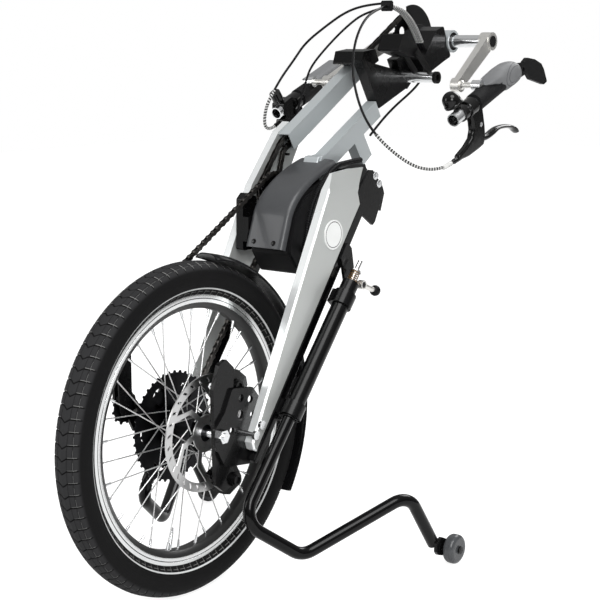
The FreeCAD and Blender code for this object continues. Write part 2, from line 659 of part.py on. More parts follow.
def on_bar(s, up):
    """A (y, z) point measured along the handle's bar from below its pin, and up from its axis."""
    dy, dz = turn(s, up, bar_slope)
    return (bar_y + dy, bar_z + dz)


def bar_piece(s0, s1, radius, bore=0.0):
    return rod((grip_x, *on_bar(s0, 0)), (grip_x, *on_bar(s1, 0)), radius, bore)


pin = lathe([(crank_end_x - 8, 0), (crank_end_x - 8, pin_radius + 3), (crank_end_x + 10, pin_radius + 3),
             (crank_end_x + 12, pin_radius), (pin_end, pin_radius), (pin_end, 0)], crank_end_y, crank_end_z)
pin_hub = cross(hub_x, grip_x, crank_end_y, crank_end_z, pin_radius + 4.5)
pin_bore = cross(hub_x - 1, grip_x, crank_end_y, crank_end_z, pin_radius + bearing_gap)
bar_tube = bar_piece(-bar_front, bar_rear, bar_radius, bar_bore).fuse(pin_hub).cut(pin_bore)
palm_line = [on_bar(2, 21), on_bar(92, 22), on_bar(110, 3), on_bar(104, -grip_radius - 1), on_bar(48, -grip_radius - 1),
             on_bar(38, -4)]
palm = prism(palm_line, grip_x - grip_radius - 0.5, grip_x + grip_radius + 0.5)
long_edges = [e for e in palm.Edges if abs(e.Vertexes[0].X - e.Vertexes[-1].X) < 1
              and abs(on_bar(1, 0)[0] - bar_y) > 0 and e.Length > 50]
palm = palm.makeFillet(7.0, long_edges).cut(bar_piece(-10, 200, bar_radius)).cut(pin_hub)
black_grip = bar_piece(-36, 60, grip_radius, bar_radius).cut(prism(palm_line, grip_x - 30, grip_x + 30)).cut(pin_hub)
black_grip = max(black_grip.Solids, key=lambda s: s.Volume)
rest_x0, rest_x1 = grip_x - 3.5, grip_x + 3.5
link = prism([(648, 801), (690, 803), (700, 786), (668, 776), (655, 774)], rest_x0, rest_x1)
rest = rounded([(681, 803), (694, 811), (721, 808), (746, 800), (756, 790), (769, 768), (757, 763), (707, 773), (690, 787)],
               2.5, rest_x0, rest_x1)
rest = rest.fuse(link).cut(cross(rest_x0 - 1, rest_x1 + 1, 681, 791, 3.5)).cut(palm).cut(bar_tube)
rest = max(rest.Solids, key=lambda s: s.Volume)
pivot_y, pivot_z = 534.0, 702.0
lever_half, blade_half, lever_gap = 8.0, 3.0, 0.4
lever_body = prism([on_bar(-64, -6), on_bar(-40, -6), (546, 700), (544, 683), (520, 664), (482, 643), (471, 654), (498, 688),
                    (503, 712)], grip_x - lever_half, grip_x + lever_half)
clamp_ring = bar_piece(-64, -42, bar_radius + 4)
lever_body = lever_body.fuse(clamp_ring).cut(bar_piece(-70, -30, bar_radius))
swing = prism([(528, 712), (560, 712), (560, 660), (530, 668), (522, 692)], grip_x - blade_half - lever_gap,
              grip_x + blade_half + lever_gap)
lever_body = lever_body.cut(swing)
blade = prism([(530, 706), (538, 706), (552, 692), (586, 702), (648, 700), (668, 691), (664, 684), (646, 692), (588, 694),
               (558, 678), (546, 680), (530, 696)], grip_x - blade_half, grip_x + blade_half)
lever_pin = cross(grip_x - lever_half - 1, grip_x + lever_half + 1, pivot_y, pivot_z, 2.5)
blade = blade.cut(cross(0, 300, pivot_y, pivot_z, 2.5 + bearing_gap))
lever_body = lever_body.cut(cross(0, 300, pivot_y, pivot_z, 2.5))
ferrule = rod((grip_x, 476.5, 648.5), (grip_x, 452, 642), 4.2)
lever_body = lever_body.cut(ferrule)
bell_s = -75.0
bell_band = bar_piece(bell_s - 6, bell_s + 5, bar_radius + 2.5, bar_radius)
bell_x = grip_x - 13.0
base_y, base_z = on_bar(bell_s - 2, bar_radius + 1)
top_y, top_z = on_bar(bell_s - 8, bar_radius + 17)
bell_dome = Part.makeSphere(15.0, V(bell_x, base_y, base_z)).common(
    rod((bell_x, *on_bar(bell_s - 2, bar_radius + 3)), (bell_x, *on_bar(bell_s - 2, bar_radius + 30)), 16))
bell_foot = rod((bell_x, *on_bar(bell_s, bar_radius - 1)), (bell_x, *on_bar(bell_s - 2, bar_radius + 4)), 5.0)
bell_foot = bell_foot.cut(bar_piece(-90, -50, bar_radius)).cut(bell_dome)
bell_band = bell_band.fuse(bell_foot)
bell_band = max(bell_band.Solids, key=lambda s: s.Volume)
pod_line = [on_bar(-92, 14), on_bar(-64, 16), on_bar(-60, -16), on_bar(-86, -18), on_bar(-98, -4)]
shift_pod = rounded(pod_line, 4.0, grip_x - 11.5, grip_x + 15).cut(bar_piece(-120, -30, bar_radius))
shift_pod = shift_pod.cut(clamp_ring)
shift_knob = rod((grip_x + 5, *on_bar(-84, 15)), (grip_x + 5, *on_bar(-90, 34)), 10.0).cut(shift_pod)
right_body = prism([on_bar(-64, -6), on_bar(-40, -6), (528, 704), (518, 688), (486, 682), (463, 687), (466, 700), (498, 718)],
                   grip_x - lever_half, grip_x + lever_half)
right_body = right_body.fuse(clamp_ring).cut(bar_piece(-120, -30, bar_radius))
right_pivot = (508.0, 704.0)
right_body = right_body.cut(prism([(500, 711), (540, 718), (540, 690), (514, 686), (500, 697)], grip_x - blade_half - lever_gap,
                                  grip_x + blade_half + lever_gap))
right_blade = prism([(503, 708), (520, 709), (552, 716), (580, 731), (588, 729), (584, 722), (554, 708), (520, 700), (503, 700)],
                    grip_x - blade_half, grip_x + blade_half)
right_pin = cross(grip_x - lever_half - 1, grip_x + lever_half + 1, *right_pivot, 2.5)
right_blade = right_blade.cut(cross(0, 300, *right_pivot, 2.5 + bearing_gap))
right_body = right_body.cut(cross(0, 300, *right_pivot, 2.5))
right_ferrule = rod((grip_x, 472, 697), (grip_x, 454, 690.5), 4.2)
right_body = right_body.cut(right_ferrule)
shift_pod = max(shift_pod.cut(right_body).Solids, key=lambda s: s.Volume)
shift_knob = shift_knob.cut(shift_pod)
levers = {"left": ([lever_body, lever_pin, ferrule], blade), "right": ([right_body, right_pin, right_ferrule], right_blade)}

for side, name in ((1, "left"), (-1, "right")):
    def put(shape):
        return shape if side > 0 else other_side(shape)

    parts[name + "_handle_bar"] = [put(bar_tube)]
    parts[name + "_grip"] = [put(black_grip), put(palm)]
    parts[name + "_hand_rest"] = [put(rest)]
    parts[name + "_lever_body"] = [put(shape) for shape in levers[name][0]]
    parts[name + "_brake_lever"] = [put(levers[name][1])]
parts["bell"] = [bell_band, bell_dome]
parts["right_lever_body"] += [other_side(shift_pod), other_side(shift_knob)]
parts["crank_arms"] += [pin, other_side(pin)]

# Stand: on each side a tube slides through an outer tube and ends in a castor
stand_y, stand_z = 0.6466, 0.7627
foot_y, foot_z = 120.0, 266.0
stand_length = math.dist((120, 266), (282, 457))


def on_stand(s, x=stand_x):
    return (x, foot_y + stand_y * s, foot_z + stand_z * s)


outer_bore = stand_outer_radius - stand_wall
outer_tube = rod(on_stand(0), on_stand(stand_length), stand_outer_radius, outer_bore)
bush_bore = stand_inner_radius + slide_gap
bushes = [rod(on_stand(s), on_stand(s + 15), outer_bore, bush_bore) for s in (0, 60)]
end_plug = rod(on_stand(stand_length - 6), on_stand(stand_length), outer_bore, 4.0 + slide_gap)
clamps = []
for s in (14, 218):
    ring_piece = rod(on_stand(s - 12), on_stand(s + 12), stand_outer_radius + 4)
    tip = on_stand(s)
    across = [(tip[1] + stand_y * a + stand_z * b, tip[2] + stand_z * a - stand_y * b) for a, b in
              ((-12, -12), (12, -12), (12, 9), (-12, 9))]
    clamps.append(ring_piece.fuse(prism(across, post_x1, stand_x)).cut(rod(on_stand(-5), on_stand(260), stand_outer_radius))
                  .cut(post).cut(leg([(270, 632), (358, 636)])))
stand_points = [on_stand(100), on_stand(-178), (146.0, 100.0, 58.0), (234.0, 262.0, 133.0), (243.0, 324.0, 36.0)]


def route(points, radius, least):
    """The line of a bent bar or a cord: straight runs joined by tangent arcs."""
    pts = [V(*p) for p in points]
    edges, here, tightest = [], pts[0], 1e9
    for k in range(1, len(pts) - 1):
        before, after = pts[k] - pts[k - 1], pts[k + 1] - pts[k]
        trim = 0.45 * min(before.Length, after.Length)
        u, w = before.normalize(), after.normalize()
        angle = u.getAngle(w)
        bend = trim / math.tan(angle / 2)
        tightest = min(tightest, bend)
        start, end = pts[k] - u * trim, pts[k] + w * trim
        inward = (w - u).normalize()
        centre = pts[k] + inward * (bend / math.cos(angle / 2))
        middle = centre - inward * bend
        edges += [Part.LineSegment(here, start).toShape(), Part.Arc(start, middle, end).toShape()]
        here = end
    edges.append(Part.LineSegment(here, pts[-1]).toShape())
    print("least bend", round(tightest, 1), "of radius", radius, "wanted", least)
    return Part.Wire(edges)


def bent(points, radius, least=5.0, bore=0.0):
    """A round bar, cord or tube along a route."""
    line = route(points, radius, least * 2 * radius)
    start = V(*points[0])
    along = (V(*points[1]) - start).normalize()

    def sweep(r):
        ring_wire = Part.Wire(Part.makeCircle(r, start, along))
        return line.makePipeShell([ring_wire], True, False)

    solid = sweep(radius)
    print("  volume", round(solid.Volume), "against", round(math.pi * radius ** 2 * line.Length))
    return solid.cut(sweep(bore)) if bore else solid


leg_bar = bent(stand_points, stand_inner_radius, 2.0)
castor_y, castor_z = 352.0, castor_radius
castor_gap = 0.5
tine_x0, tine_x1 = 250.0, 255.0
tine = rounded([(318, 46), (332, 48), (366, 32), (366, 16), (346, 12), (316, 22)], 5.0, tine_x0, tine_x1)
castor_x0, castor_x1 = tine_x1 + castor_gap, tine_x1 + castor_gap + castor_width
castor_bolt = cross(tine_x0 - 3, castor_x1 + 4, castor_y, castor_z, castor_bore)
castor_head = cross(castor_x1 + castor_gap, castor_x1 + 4, castor_y, castor_z, 7.0)
leg_bar = leg_bar.fuse(tine).cut(castor_bolt)
castor_axle = castor_bolt.fuse(castor_head)
castor = cross(castor_x0, castor_x1, castor_y, castor_z, castor_radius)
castor = castor.makeFillet(7.0, [e for e in castor.Edges if e.Curve.TypeId == "Part::GeomCircle"])
castor_hub = cross(castor_x0, castor_x1, castor_y, castor_z, 10.0, castor_bore + bearing_gap)
castor = castor.cut(cross(0, 400, castor_y, castor_z, 10.0))
parts["stand_sleeves"] = [outer_tube, *bushes, end_plug, *clamps]
parts["stand_sleeves"] += [other_side(s) for s in parts["stand_sleeves"]]
parts["stand_legs"] = [leg_bar, castor_axle, other_side(leg_bar), other_side(castor_axle)]
parts["left_castor"] = [castor, castor_hub]
parts["right_castor"] = [other_side(castor), other_side(castor_hub)]

# Latch of the stand, on the left only: a rod with a spring, and a lever with a ball
latch_rod_radius = 4.0
rod_low, rod_high = on_stand(stand_length - 10), on_stand(stand_length + 42)
latch_rod = rod(rod_low, rod_high, latch_rod_radius)
spring_wire, spring_radius, spring_turns, spring_length = 0.8, 7.5, 5, 18.0
spring_seat = on_stand(stand_length + spring_wire + 0.1)


def spring():
    """An open coil round the latch rod, drawn as a run of half turns."""
    axis = V(0, stand_y, stand_z)
    first = V(1, 0, 0)
    second = axis.cross(first)
    centre = V(*spring_seat)

    def at(t):
        a = 2 * math.pi * t
        return centre + first * (spring_radius * math.cos(a)) + second * (spring_radius * math.sin(a)) + axis * (spring_length * t / spring_turns)

    edges = [Part.Arc(at(k / 4), at(k / 4 + 0.125), at(k / 4 + 0.25)).toShape() for k in range(4 * spring_turns)]
    line = Part.Wire(edges)
    heading = at(0.01) - at(0)
    ring_wire = Part.Wire(Part.makeCircle(spring_wire, at(0), heading))
    print("least gap between turns of the spring", round(spring_length / spring_turns - 2 * spring_wire, 2))
    return line.makePipeShell([ring_wire], True, False)


coil = spring()
stop_washer = rod(on_stand(stand_length + spring_length + 2.6), on_stand(stand_length + spring_length + 5), 9.0, latch_rod_radius)
parts["latch_rod"] = [latch_rod, stop_washer]
parts["latch_spring"] = [coil]
eye_y, eye_z = rod_high[1], rod_high[2]
latch_outline = [along_post(s, m) for s, m in ((338, 2), (368, 2), (366, 18), (330, 58), (308, 58), (306, 44), (328, 17))]
latch_plate = rounded(latch_outline, 4.0, post_x1, post_x1 + 5)
lever_x = stand_x + latch_rod_radius + 0.5
hub_y, hub_z = 300.2, 452.4
latch_hub = cross(post_x1 + 5, lever_x + 9, hub_y, hub_z, 5.0)
latch_arm = rod((lever_x + 4.5, hub_y, hub_z), (lever_x + 4.5, 334, 439), 4.5).fuse(cross(lever_x, lever_x + 9, hub_y, hub_z, 7.5))
latch_arm = latch_arm.cut(cross(0, 200, hub_y, hub_z, 5.0 + bearing_gap))
latch_ball = Part.makeSphere(9.0, V(lever_x + 4.5, 338, 437.5)).cut(latch_arm)
parts["latch_lever"] = [latch_arm, latch_ball]
parts["latch_pivot"] = [latch_hub.cut(clamps[1]).cut(post), latch_plate]

# Steering head behind the frame and the yoke that docks on the wheelchair
steer_y, steer_z = 440.0, 588.0
wy, wz = 0.342, 0.940


def on_yoke(u, w):
    """A (y, z) point u behind the steering axis and w up along it."""
    return (steer_y + wz * u + wy * w, steer_z - wy * u + wz * w)


steer_pin_radius = 5.0
head_bracket = prism([(346, 628), (390, 636), (430, 634), on_yoke(-6, 22), on_yoke(-6, -30), (405, 546), (378, 550), (346, 604)], -28, 28)
head_bracket = head_bracket.cut(prism([(366, 612), (408, 612), (404, 574), (384, 572)], -29, 29))
head_bracket = head_bracket.cut(cross_tube).cut(brace).cut(prism([(340, 600), (360, 600), (360, 640), (340, 640)], -40, 40))
lugs = []
for w in (-34, 26):
    lug = rod((0, *on_yoke(0, w)), (0, *on_yoke(0, w + 8)), 13.0)
    arm_plate = prism([on_yoke(-20, w), on_yoke(0, w), on_yoke(0, w + 8), on_yoke(-20, w + 8)], -13, 13)
    lugs.append(lug.fuse(arm_plate).cut(rod((0, *on_yoke(0, -60)), (0, *on_yoke(0, 60)), steer_pin_radius)))
neck = prism([on_yoke(-26, -34), on_yoke(-16, -34), on_yoke(-16, 34), on_yoke(-26, 34)], -28, 28)
head_bracket = head_bracket.cut(prism([on_yoke(-15, -60), on_yoke(60, -60), on_yoke(60, 60), on_yoke(-15, 60)], -60, 60))
head_bracket = head_bracket.fuse(neck).fuse(lugs[0]).fuse(lugs[1]).cut(lower_tube).cut(brace).cut(head_plate)
print("head solids", [round(s.Volume) for s in head_bracket.Solids])
parts["steering_head"] = [max(head_bracket.Solids, key=lambda s: s.Volume)]
parts["steering_head"] += [rod((0, *on_yoke(0, -38)), (0, *on_yoke(0, 38)), steer_pin_radius)]
knuckle = rod((0, *on_yoke(0, -25)), (0, *on_yoke(0, 25)), 13.0)
plate = prism([on_yoke(8, -22), on_yoke(20, -22), on_yoke(20, 22), on_yoke(8, 22)], -30, 30)
sides = prism([on_yoke(12, -24), on_yoke(46, -24), on_yoke(46, 8), on_yoke(34, 20), on_yoke(12, 20)], -30, -24)
docking_bore = (35.0, -4.0)
dock_y, dock_z = on_yoke(*docking_bore)
yoke = knuckle.fuse(plate).fuse(sides).fuse(other_side(sides))
yoke = yoke.cut(rod((0, *on_yoke(0, -60)), (0, *on_yoke(0, 60)), steer_pin_radius + bearing_gap))
yoke = yoke.cut(cross(-40, 40, dock_y, dock_z, 6.0))
parts["dock_yoke"] = [yoke]

# Mudguard and its stays
guard_in, guard_out, guard_half = tyre_radius + 10.0, tyre_radius + 12.5, 32.0
guard_profile = [(-guard_half, guard_in - 6), (-20, guard_in), (20, guard_in), (guard_half, guard_in - 6),
                 (guard_half, guard_out - 6), (20.8, guard_out), (-20.8, guard_out), (-guard_half, guard_out - 6)]
ring_points = [V(x, 0, axle_z + r) for x, r in guard_profile]
guard_face = Part.Face(Part.makePolygon(ring_points + ring_points[:1]))
guard_face.rotate(V(0, 0, axle_z), V(1, 0, 0), -4.0)
mudguard = guard_face.revolve(V(0, 0, axle_z), V(1, 0, 0), -120.0)
parts["mudguard"] = [mudguard]
stays = [bent([(66.0 + 2.5, 12.0, 360.0), (66.0 + 2.5, 40.0, 372.0), (60.0, 130.0, 400.0), (33.5, 236.0, 384.0), (33.5, 254.0, 352.0)], 2.0, 3.0)]
parts["mudguard"] += [stays[0], other_side(stays[0])]

# Cords: points chosen along each one
cord = 2.5
lever_cord = [(185, 452.0, 642.0), (185, 427.5, 635.5), (174, 400, 634), (160, 377, 641), (143, 354, 659), (125, 330, 685), (108, 316, 715),
              (90, 316, 752), (71, 330, 793), (52, 362, 836), (36, 408, 871), (25, 456, 890), (17.5, 501.1, 898)]
parts["left_brake_cable"] = [bent(lever_cord, cord)]
right_long = [(-185, 453.6, 690.2), (-184, 436, 684), (-180, 415, 691), (-176, 413, 720), (-171, 424, 745), (-168, 450, 777),
              (-164, 480, 806), (-148, 492, 836), (-105, 497, 866), (-62, 497, 890), (-24, 503, 901), (6.7, 507, 903)]
right_short = [(-171.2, 497, 708), (-165.5, 503, 738), (-160, 510, 768), (-150, 512, 795), (-110, 511, 833), (-66, 507, 866),
               (-28, 505, 888), (6.7, 507, 895)]
parts["right_cables"] = [bent(right_long, 2.2), bent(right_short, 2.2)]
bundle = []
for dx in (-5.2, 0, 5.2):
    pts = [(17 + dx, 512.4, 899), (18 + dx, 536, 896), (19 + dx, 560, 886), (20 + dx, 583, 867), (21 + dx, 600, 845), (21 + dx, 618, 820)]
    bundle.append(bent(pts, cord).cut(clamp))
clip = rounded([(502, 890), (502, 908), (512, 908), (512, 890)], 3.0, 7.2, 27)
parts["cable_bundle"] = bundle + [clip]
down = [(12.6, 642, 792), (12.6, 624, 769), (12.6, 592, 750), (12.6, 545, 729), (12.6, 500, 704), (12.6, 466, 680)]
parts["cable_bundle"].append(bent(down, cord).cut(clamp))

# Ribbed hose from the steering head to the motor
hose_line = route([(20, 428, 641), (25, 402, 641), (38, 360, 641), (44, 325, 640), (50, 285, 621), (52, 255, 592), (52, 238, 556),
                   (50, 236, 530), (42, 241, 514), (36.2, 246, 506)], 4.5, 22)
rib_count, rib_low, rib_high = 34, 3.4, 4.5
samples = hose_line.discretize(Number=4 * rib_count + 1)
rings = []
for k, centre in enumerate(samples):
    ahead, behind = samples[min(k + 1, len(samples) - 1)], samples[max(k - 1, 0)]
    along = (ahead - behind).normalize()
    aside = V(1, 0, 0) - along * along.x
    place = FreeCAD.Placement(centre, FreeCAD.Rotation(aside, V(), along, "ZXY"))
    ring = Part.makeCircle(rib_high if k % 4 in (1, 2) else rib_low)
    ring.Placement = place
    rings.append(Part.Wire(ring))
parts["ribbed_hose"] = [Part.makeLoft(rings, True, True).cut(housing).cut(end_cap)]

os.makedirs("parts", exist_ok=True)
for name, solids in parts.items():
    Part.makeCompound(solids).exportStep("parts/" + name + ".step")
print(len(parts), "nodes")
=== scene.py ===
"""Handcycle: a front drive unit that hooks on to a wheelchair, dressed around its CAD model."""
import math

import bmesh
import bpy
import numpy as np
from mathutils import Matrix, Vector


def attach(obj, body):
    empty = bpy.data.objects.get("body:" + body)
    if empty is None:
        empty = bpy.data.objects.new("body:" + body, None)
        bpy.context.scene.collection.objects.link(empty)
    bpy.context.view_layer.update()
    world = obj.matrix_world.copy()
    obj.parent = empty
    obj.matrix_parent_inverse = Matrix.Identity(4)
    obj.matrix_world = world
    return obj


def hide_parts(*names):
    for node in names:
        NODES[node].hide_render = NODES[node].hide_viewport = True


bl_info = {
    "name": "Handcycle",
    "version": (1, 0, 0),
    "blender": (4, 5, 0),
    "location": "3D View > Sidebar > Handcycle",
    "description": "Builds the surfaces and finishes of a hand-cranked wheelchair front unit",
    "category": "Add Mesh",
}

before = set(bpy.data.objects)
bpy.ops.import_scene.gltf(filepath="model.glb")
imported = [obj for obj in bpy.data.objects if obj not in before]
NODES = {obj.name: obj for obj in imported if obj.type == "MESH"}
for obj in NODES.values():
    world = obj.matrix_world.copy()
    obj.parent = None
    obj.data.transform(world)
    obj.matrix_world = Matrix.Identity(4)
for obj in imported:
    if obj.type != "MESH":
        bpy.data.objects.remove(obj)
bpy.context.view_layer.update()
AXLE = np.array([0.0, 0.0, 0.258])
HANDLE_X = 185.0
PIN_Y, PIN_Z = 553.2, 750.2
BAR_SLOPE = math.radians(21.5)
BAR_COS, BAR_SIN = math.cos(BAR_SLOPE), math.sin(BAR_SLOPE)


# Shader maths
def maths(op, swapped=False):
    """A method that adds one Math node; swapped puts the other value first."""
    def method(self, other=None):
        a, b = (other, self) if swapped else (self, other)
        return self.mat.node("ShaderNodeMath", {"operation": op}, {0: a, 1: b})
    return method


class Sock:
    """A shader socket that takes part in Python expressions: each operator adds one Math node."""

    def __init__(self, mat, socket):
        self.mat, self.socket = mat, socket

    __add__ = maths("ADD")
    __radd__ = maths("ADD", True)
    __sub__ = maths("SUBTRACT")
    __rsub__ = maths("SUBTRACT", True)
    __mul__ = maths("MULTIPLY")
    __rmul__ = maths("MULTIPLY", True)
    __truediv__ = maths("DIVIDE")
    __gt__ = maths("GREATER_THAN")
    __lt__ = maths("LESS_THAN")
    sin = maths("SINE")
    abs = maths("ABSOLUTE")
    frac = maths("FRACT")
    angle = maths("ARCTAN2")
    root = maths("SQRT")

    def length(self, o):
        return (self * self + o * o).root()

    def step(self, low, high):
        """0 below low, 1 above high, smooth between."""
        return self.mat.node("ShaderNodeMapRange", {"interpolation_type": "SMOOTHSTEP"},
                             {0: self, 1: low, 2: high})


class Finish:
    """One material: a Principled shader whose varying inputs are fed by expressions."""

    def __init__(self, name, color, rough=0.5, metal=0.0, coat=0.0, coat_rough=0.08, spec=0.5):
        self.m = bpy.data.materials.new(name)
        self.m.use_nodes = True
        self.nt = self.m.node_tree
        self.bsdf = next(n for n in self.nt.nodes if n.type == "BSDF_PRINCIPLED")
        self.put("Base Color", (*color, 1.0))
        self.put("Roughness", rough)
        self.put("Metallic", metal)
        self.put("Coat Weight", coat)
        self.put("Coat Roughness", coat_rough)
        self.put("Specular IOR Level", spec)
        self.m.diffuse_color = (*color, 1.0)

    def node(self, kind, settings=None, inputs=None, out=0):
        """Adds a node: settings first, then the values or links of its sockets."""
        n = self.nt.nodes.new(kind)
        for k, v in (settings or {}).items():
            if k == "stops":
                ramp = n.color_ramp
                while len(ramp.elements) < len(v):
                    ramp.elements.new(0.5)
                for e, (at, col) in zip(ramp.elements, v):
                    e.position, e.color = at, col
            else:
                setattr(n, k, v)
        for k, v in (inputs or {}).items():
            if v is None:
                continue
            if isinstance(v, Sock):
                self.nt.links.new(v.socket, n.inputs[k])
            else:
                n.inputs[k].default_value = v
        return Sock(self, n.outputs[out])

    def put(self, name, value):
        if isinstance(value, Sock):
            self.nt.links.new(value.socket, self.bsdf.inputs[name])
        else:
            self.bsdf.inputs[name].default_value = value

    def place(self):
        """Object coordinates as three sockets, in metres."""
        tc = self.node("ShaderNodeTexCoord", out="Object")
        sep = self.nt.nodes.new("ShaderNodeSeparateXYZ")
        self.nt.links.new(tc.socket, sep.inputs[0])
        return [Sock(self, out) for out in sep.outputs]

    def uv(self):
        tc = self.node("ShaderNodeTexCoord", out="UV")
        sep = self.nt.nodes.new("ShaderNodeSeparateXYZ")
        self.nt.links.new(tc.socket, sep.inputs[0])
        return Sock(self, sep.outputs[0]), Sock(self, sep.outputs[1])

    def noise(self, scale, detail=3.0, rough=0.55, vector=None, stretch=None):
        v = vector or self.node("ShaderNodeTexCoord", out="Object")
        if stretch:
            v = self.node("ShaderNodeMapping", {}, {0: v, 3: stretch})
        return self.node("ShaderNodeTexNoise", {}, {"Vector": v, "Scale": scale, "Detail": detail,
                                                    "Roughness": rough})

    def mix(self, factor, a, b):
        """Colour a where factor is 0, colour b where it is 1."""
        a, b = (c if isinstance(c, Sock) else (*c, 1.0) for c in (a, b))
        return self.node("ShaderNodeMix", {"data_type": "RGBA"}, {0: factor, 6: a, 7: b}, out=2)

    def bump(self, height, distance=0.001, strength=1.0):
        self.put("Normal", self.node("ShaderNodeBump", {}, {"Height": height, "Distance": distance,
                                                            "Strength": strength}))


def satin_paint(name, color, rough=0.38, fleck=0.06, metal=0.55, coat=0.25):
    """Metallic paint: fine flecks, slow shade drift and a soft orange peel."""
    f = Finish(name, color, rough, metal, coat, 0.15)
    drift = f.noise(9.0, 2.0)
    fine = f.noise(900.0, 1.0)
    dark = tuple(c * (1 - fleck) for c in color)
    lite = tuple(min(1, c * (1 + fleck)) for c in color)
    f.put("Base Color", f.mix(drift * 0.6 + fine * 0.4, dark, lite))
    f.put("Roughness", drift * 0.10 + (rough - 0.05))
    f.bump(f.noise(260.0, 2.0), 0.00012, 0.5)
    return f


def polished(name, color=(0.80, 0.81, 0.82), rough=0.20, grain=(1.0, 30.0, 30.0), depth=0.00006):
    """Turned or drawn metal: fine lines along the piece and small changes of gloss."""
    f = Finish(name, color, rough, 1.0)
    lines = f.noise(38.0, 4.0, 0.6, stretch=grain)
    f.put("Roughness", lines * 0.16 + (rough - 0.06))
    f.put("Base Color", f.mix(lines, tuple(c * 0.90 for c in color), color))
    f.bump(lines, depth, 0.6)
    return f


def plastic(name, color, rough=0.45, grain=700.0, depth=0.00012, coat=0.0, spec=0.12):
    """Moulded plastic: an even spark-eroded grain, paler where hands rub it."""
    f = Finish(name, color, rough, 0.0, coat, 0.08, spec)
    g = f.noise(grain, 2.0)
    wear = f.noise(22.0, 3.0)
    f.put("Base Color", f.mix(wear, color, tuple(min(1, c * 1.35 + 0.001) for c in color)))
    f.put("Roughness", wear * 0.14 + (rough - 0.06))
    f.bump(g, depth, 0.6)
    return f


def gloss_paint(name, color, rough=0.16):
    """Powder coat: gloss with a slight ripple."""
    f = Finish(name, color, rough, 0.0, 0.12, 0.05, 0.15)
    f.put("Roughness", f.noise(30.0, 2.0) * 0.12 + (rough - 0.05))
    f.bump(f.noise(180.0, 2.0), 0.00010, 0.5)
    return f


def ringed_cap():
    """The disc on the left leg: pale enamel inside a fine dark ring."""
    f = Finish("leg_disc_enamel", (0.8, 0.8, 0.8), 0.25, 0.2)
    _, y, z = f.place()
    r = (y - 0.258).length(z - 0.536) * 1000.0
    ring = (r - 20.6).abs() < 0.7
    f.put("Base Color", f.mix(ring, f.mix(f.noise(40.0, 2.0), (0.74, 0.75, 0.74), (0.80, 0.81, 0.80)),
                              (0.10, 0.10, 0.10)))
    f.put("Roughness", f.noise(60.0, 2.0) * 0.1 + 0.2)
    f.bump(ring, 0.0004, 0.6)
    return f


def contoured_palm():
    """Grey palm rubber with a dark screw hole and two sunk oval lines round one middle."""
    f = Finish("palm_grey_contoured", (0.16, 0.163, 0.168), 0.55, spec=0.2)
    _, y, z = f.place()
    dy, dz = y * 1000.0 - PIN_Y, z * 1000.0 - PIN_Z
    along, up = dy * BAR_COS + dz * BAR_SIN, dz * BAR_COS - dy * BAR_SIN
    oval = ((along - 82.0) * 0.52).length(up - 4.0)
    sunk = ((oval - 12.0).abs() < 0.45) + ((oval - 17.0).abs() < 0.45)
    hole = (along - 34.5).length(up - 5.6) < 2.6
    base = f.mix(f.noise(50.0, 3.0), (0.125, 0.128, 0.132), (0.165, 0.168, 0.172))
    # Painted shade: the sunk oval lines are darkened.
    base = f.mix(sunk * 0.7, base, (0.03, 0.03, 0.032))
    # Painted shade: the screw hole is painted near black.
    f.put("Base Color", f.mix(hole, base, (0.004, 0.004, 0.004)))
    f.put("Roughness", f.noise(90.0, 2.0) * 0.12 + 0.48)
    f.bump(f.noise(600.0, 2.0) * 0.25 - sunk - hole * 2.0, 0.0006, 0.6)
    return f


def wrapped_cord():
    """Black cable under a spiral strip, pale by the turn and the length along the cord."""
    f = Finish("cable_wrapped", (0.008, 0.008, 0.009), 0.34)
    u, v = f.uv()
    strip = ((u * 200.0 + v).frac() < 0.45)
    f.put("Base Color", f.mix(strip, (0.003, 0.003, 0.003), (0.55, 0.55, 0.54)))
    f.put("Roughness", 0.32 + strip * 0.12)
    f.bump(strip, 0.0004, 0.5)
    return f


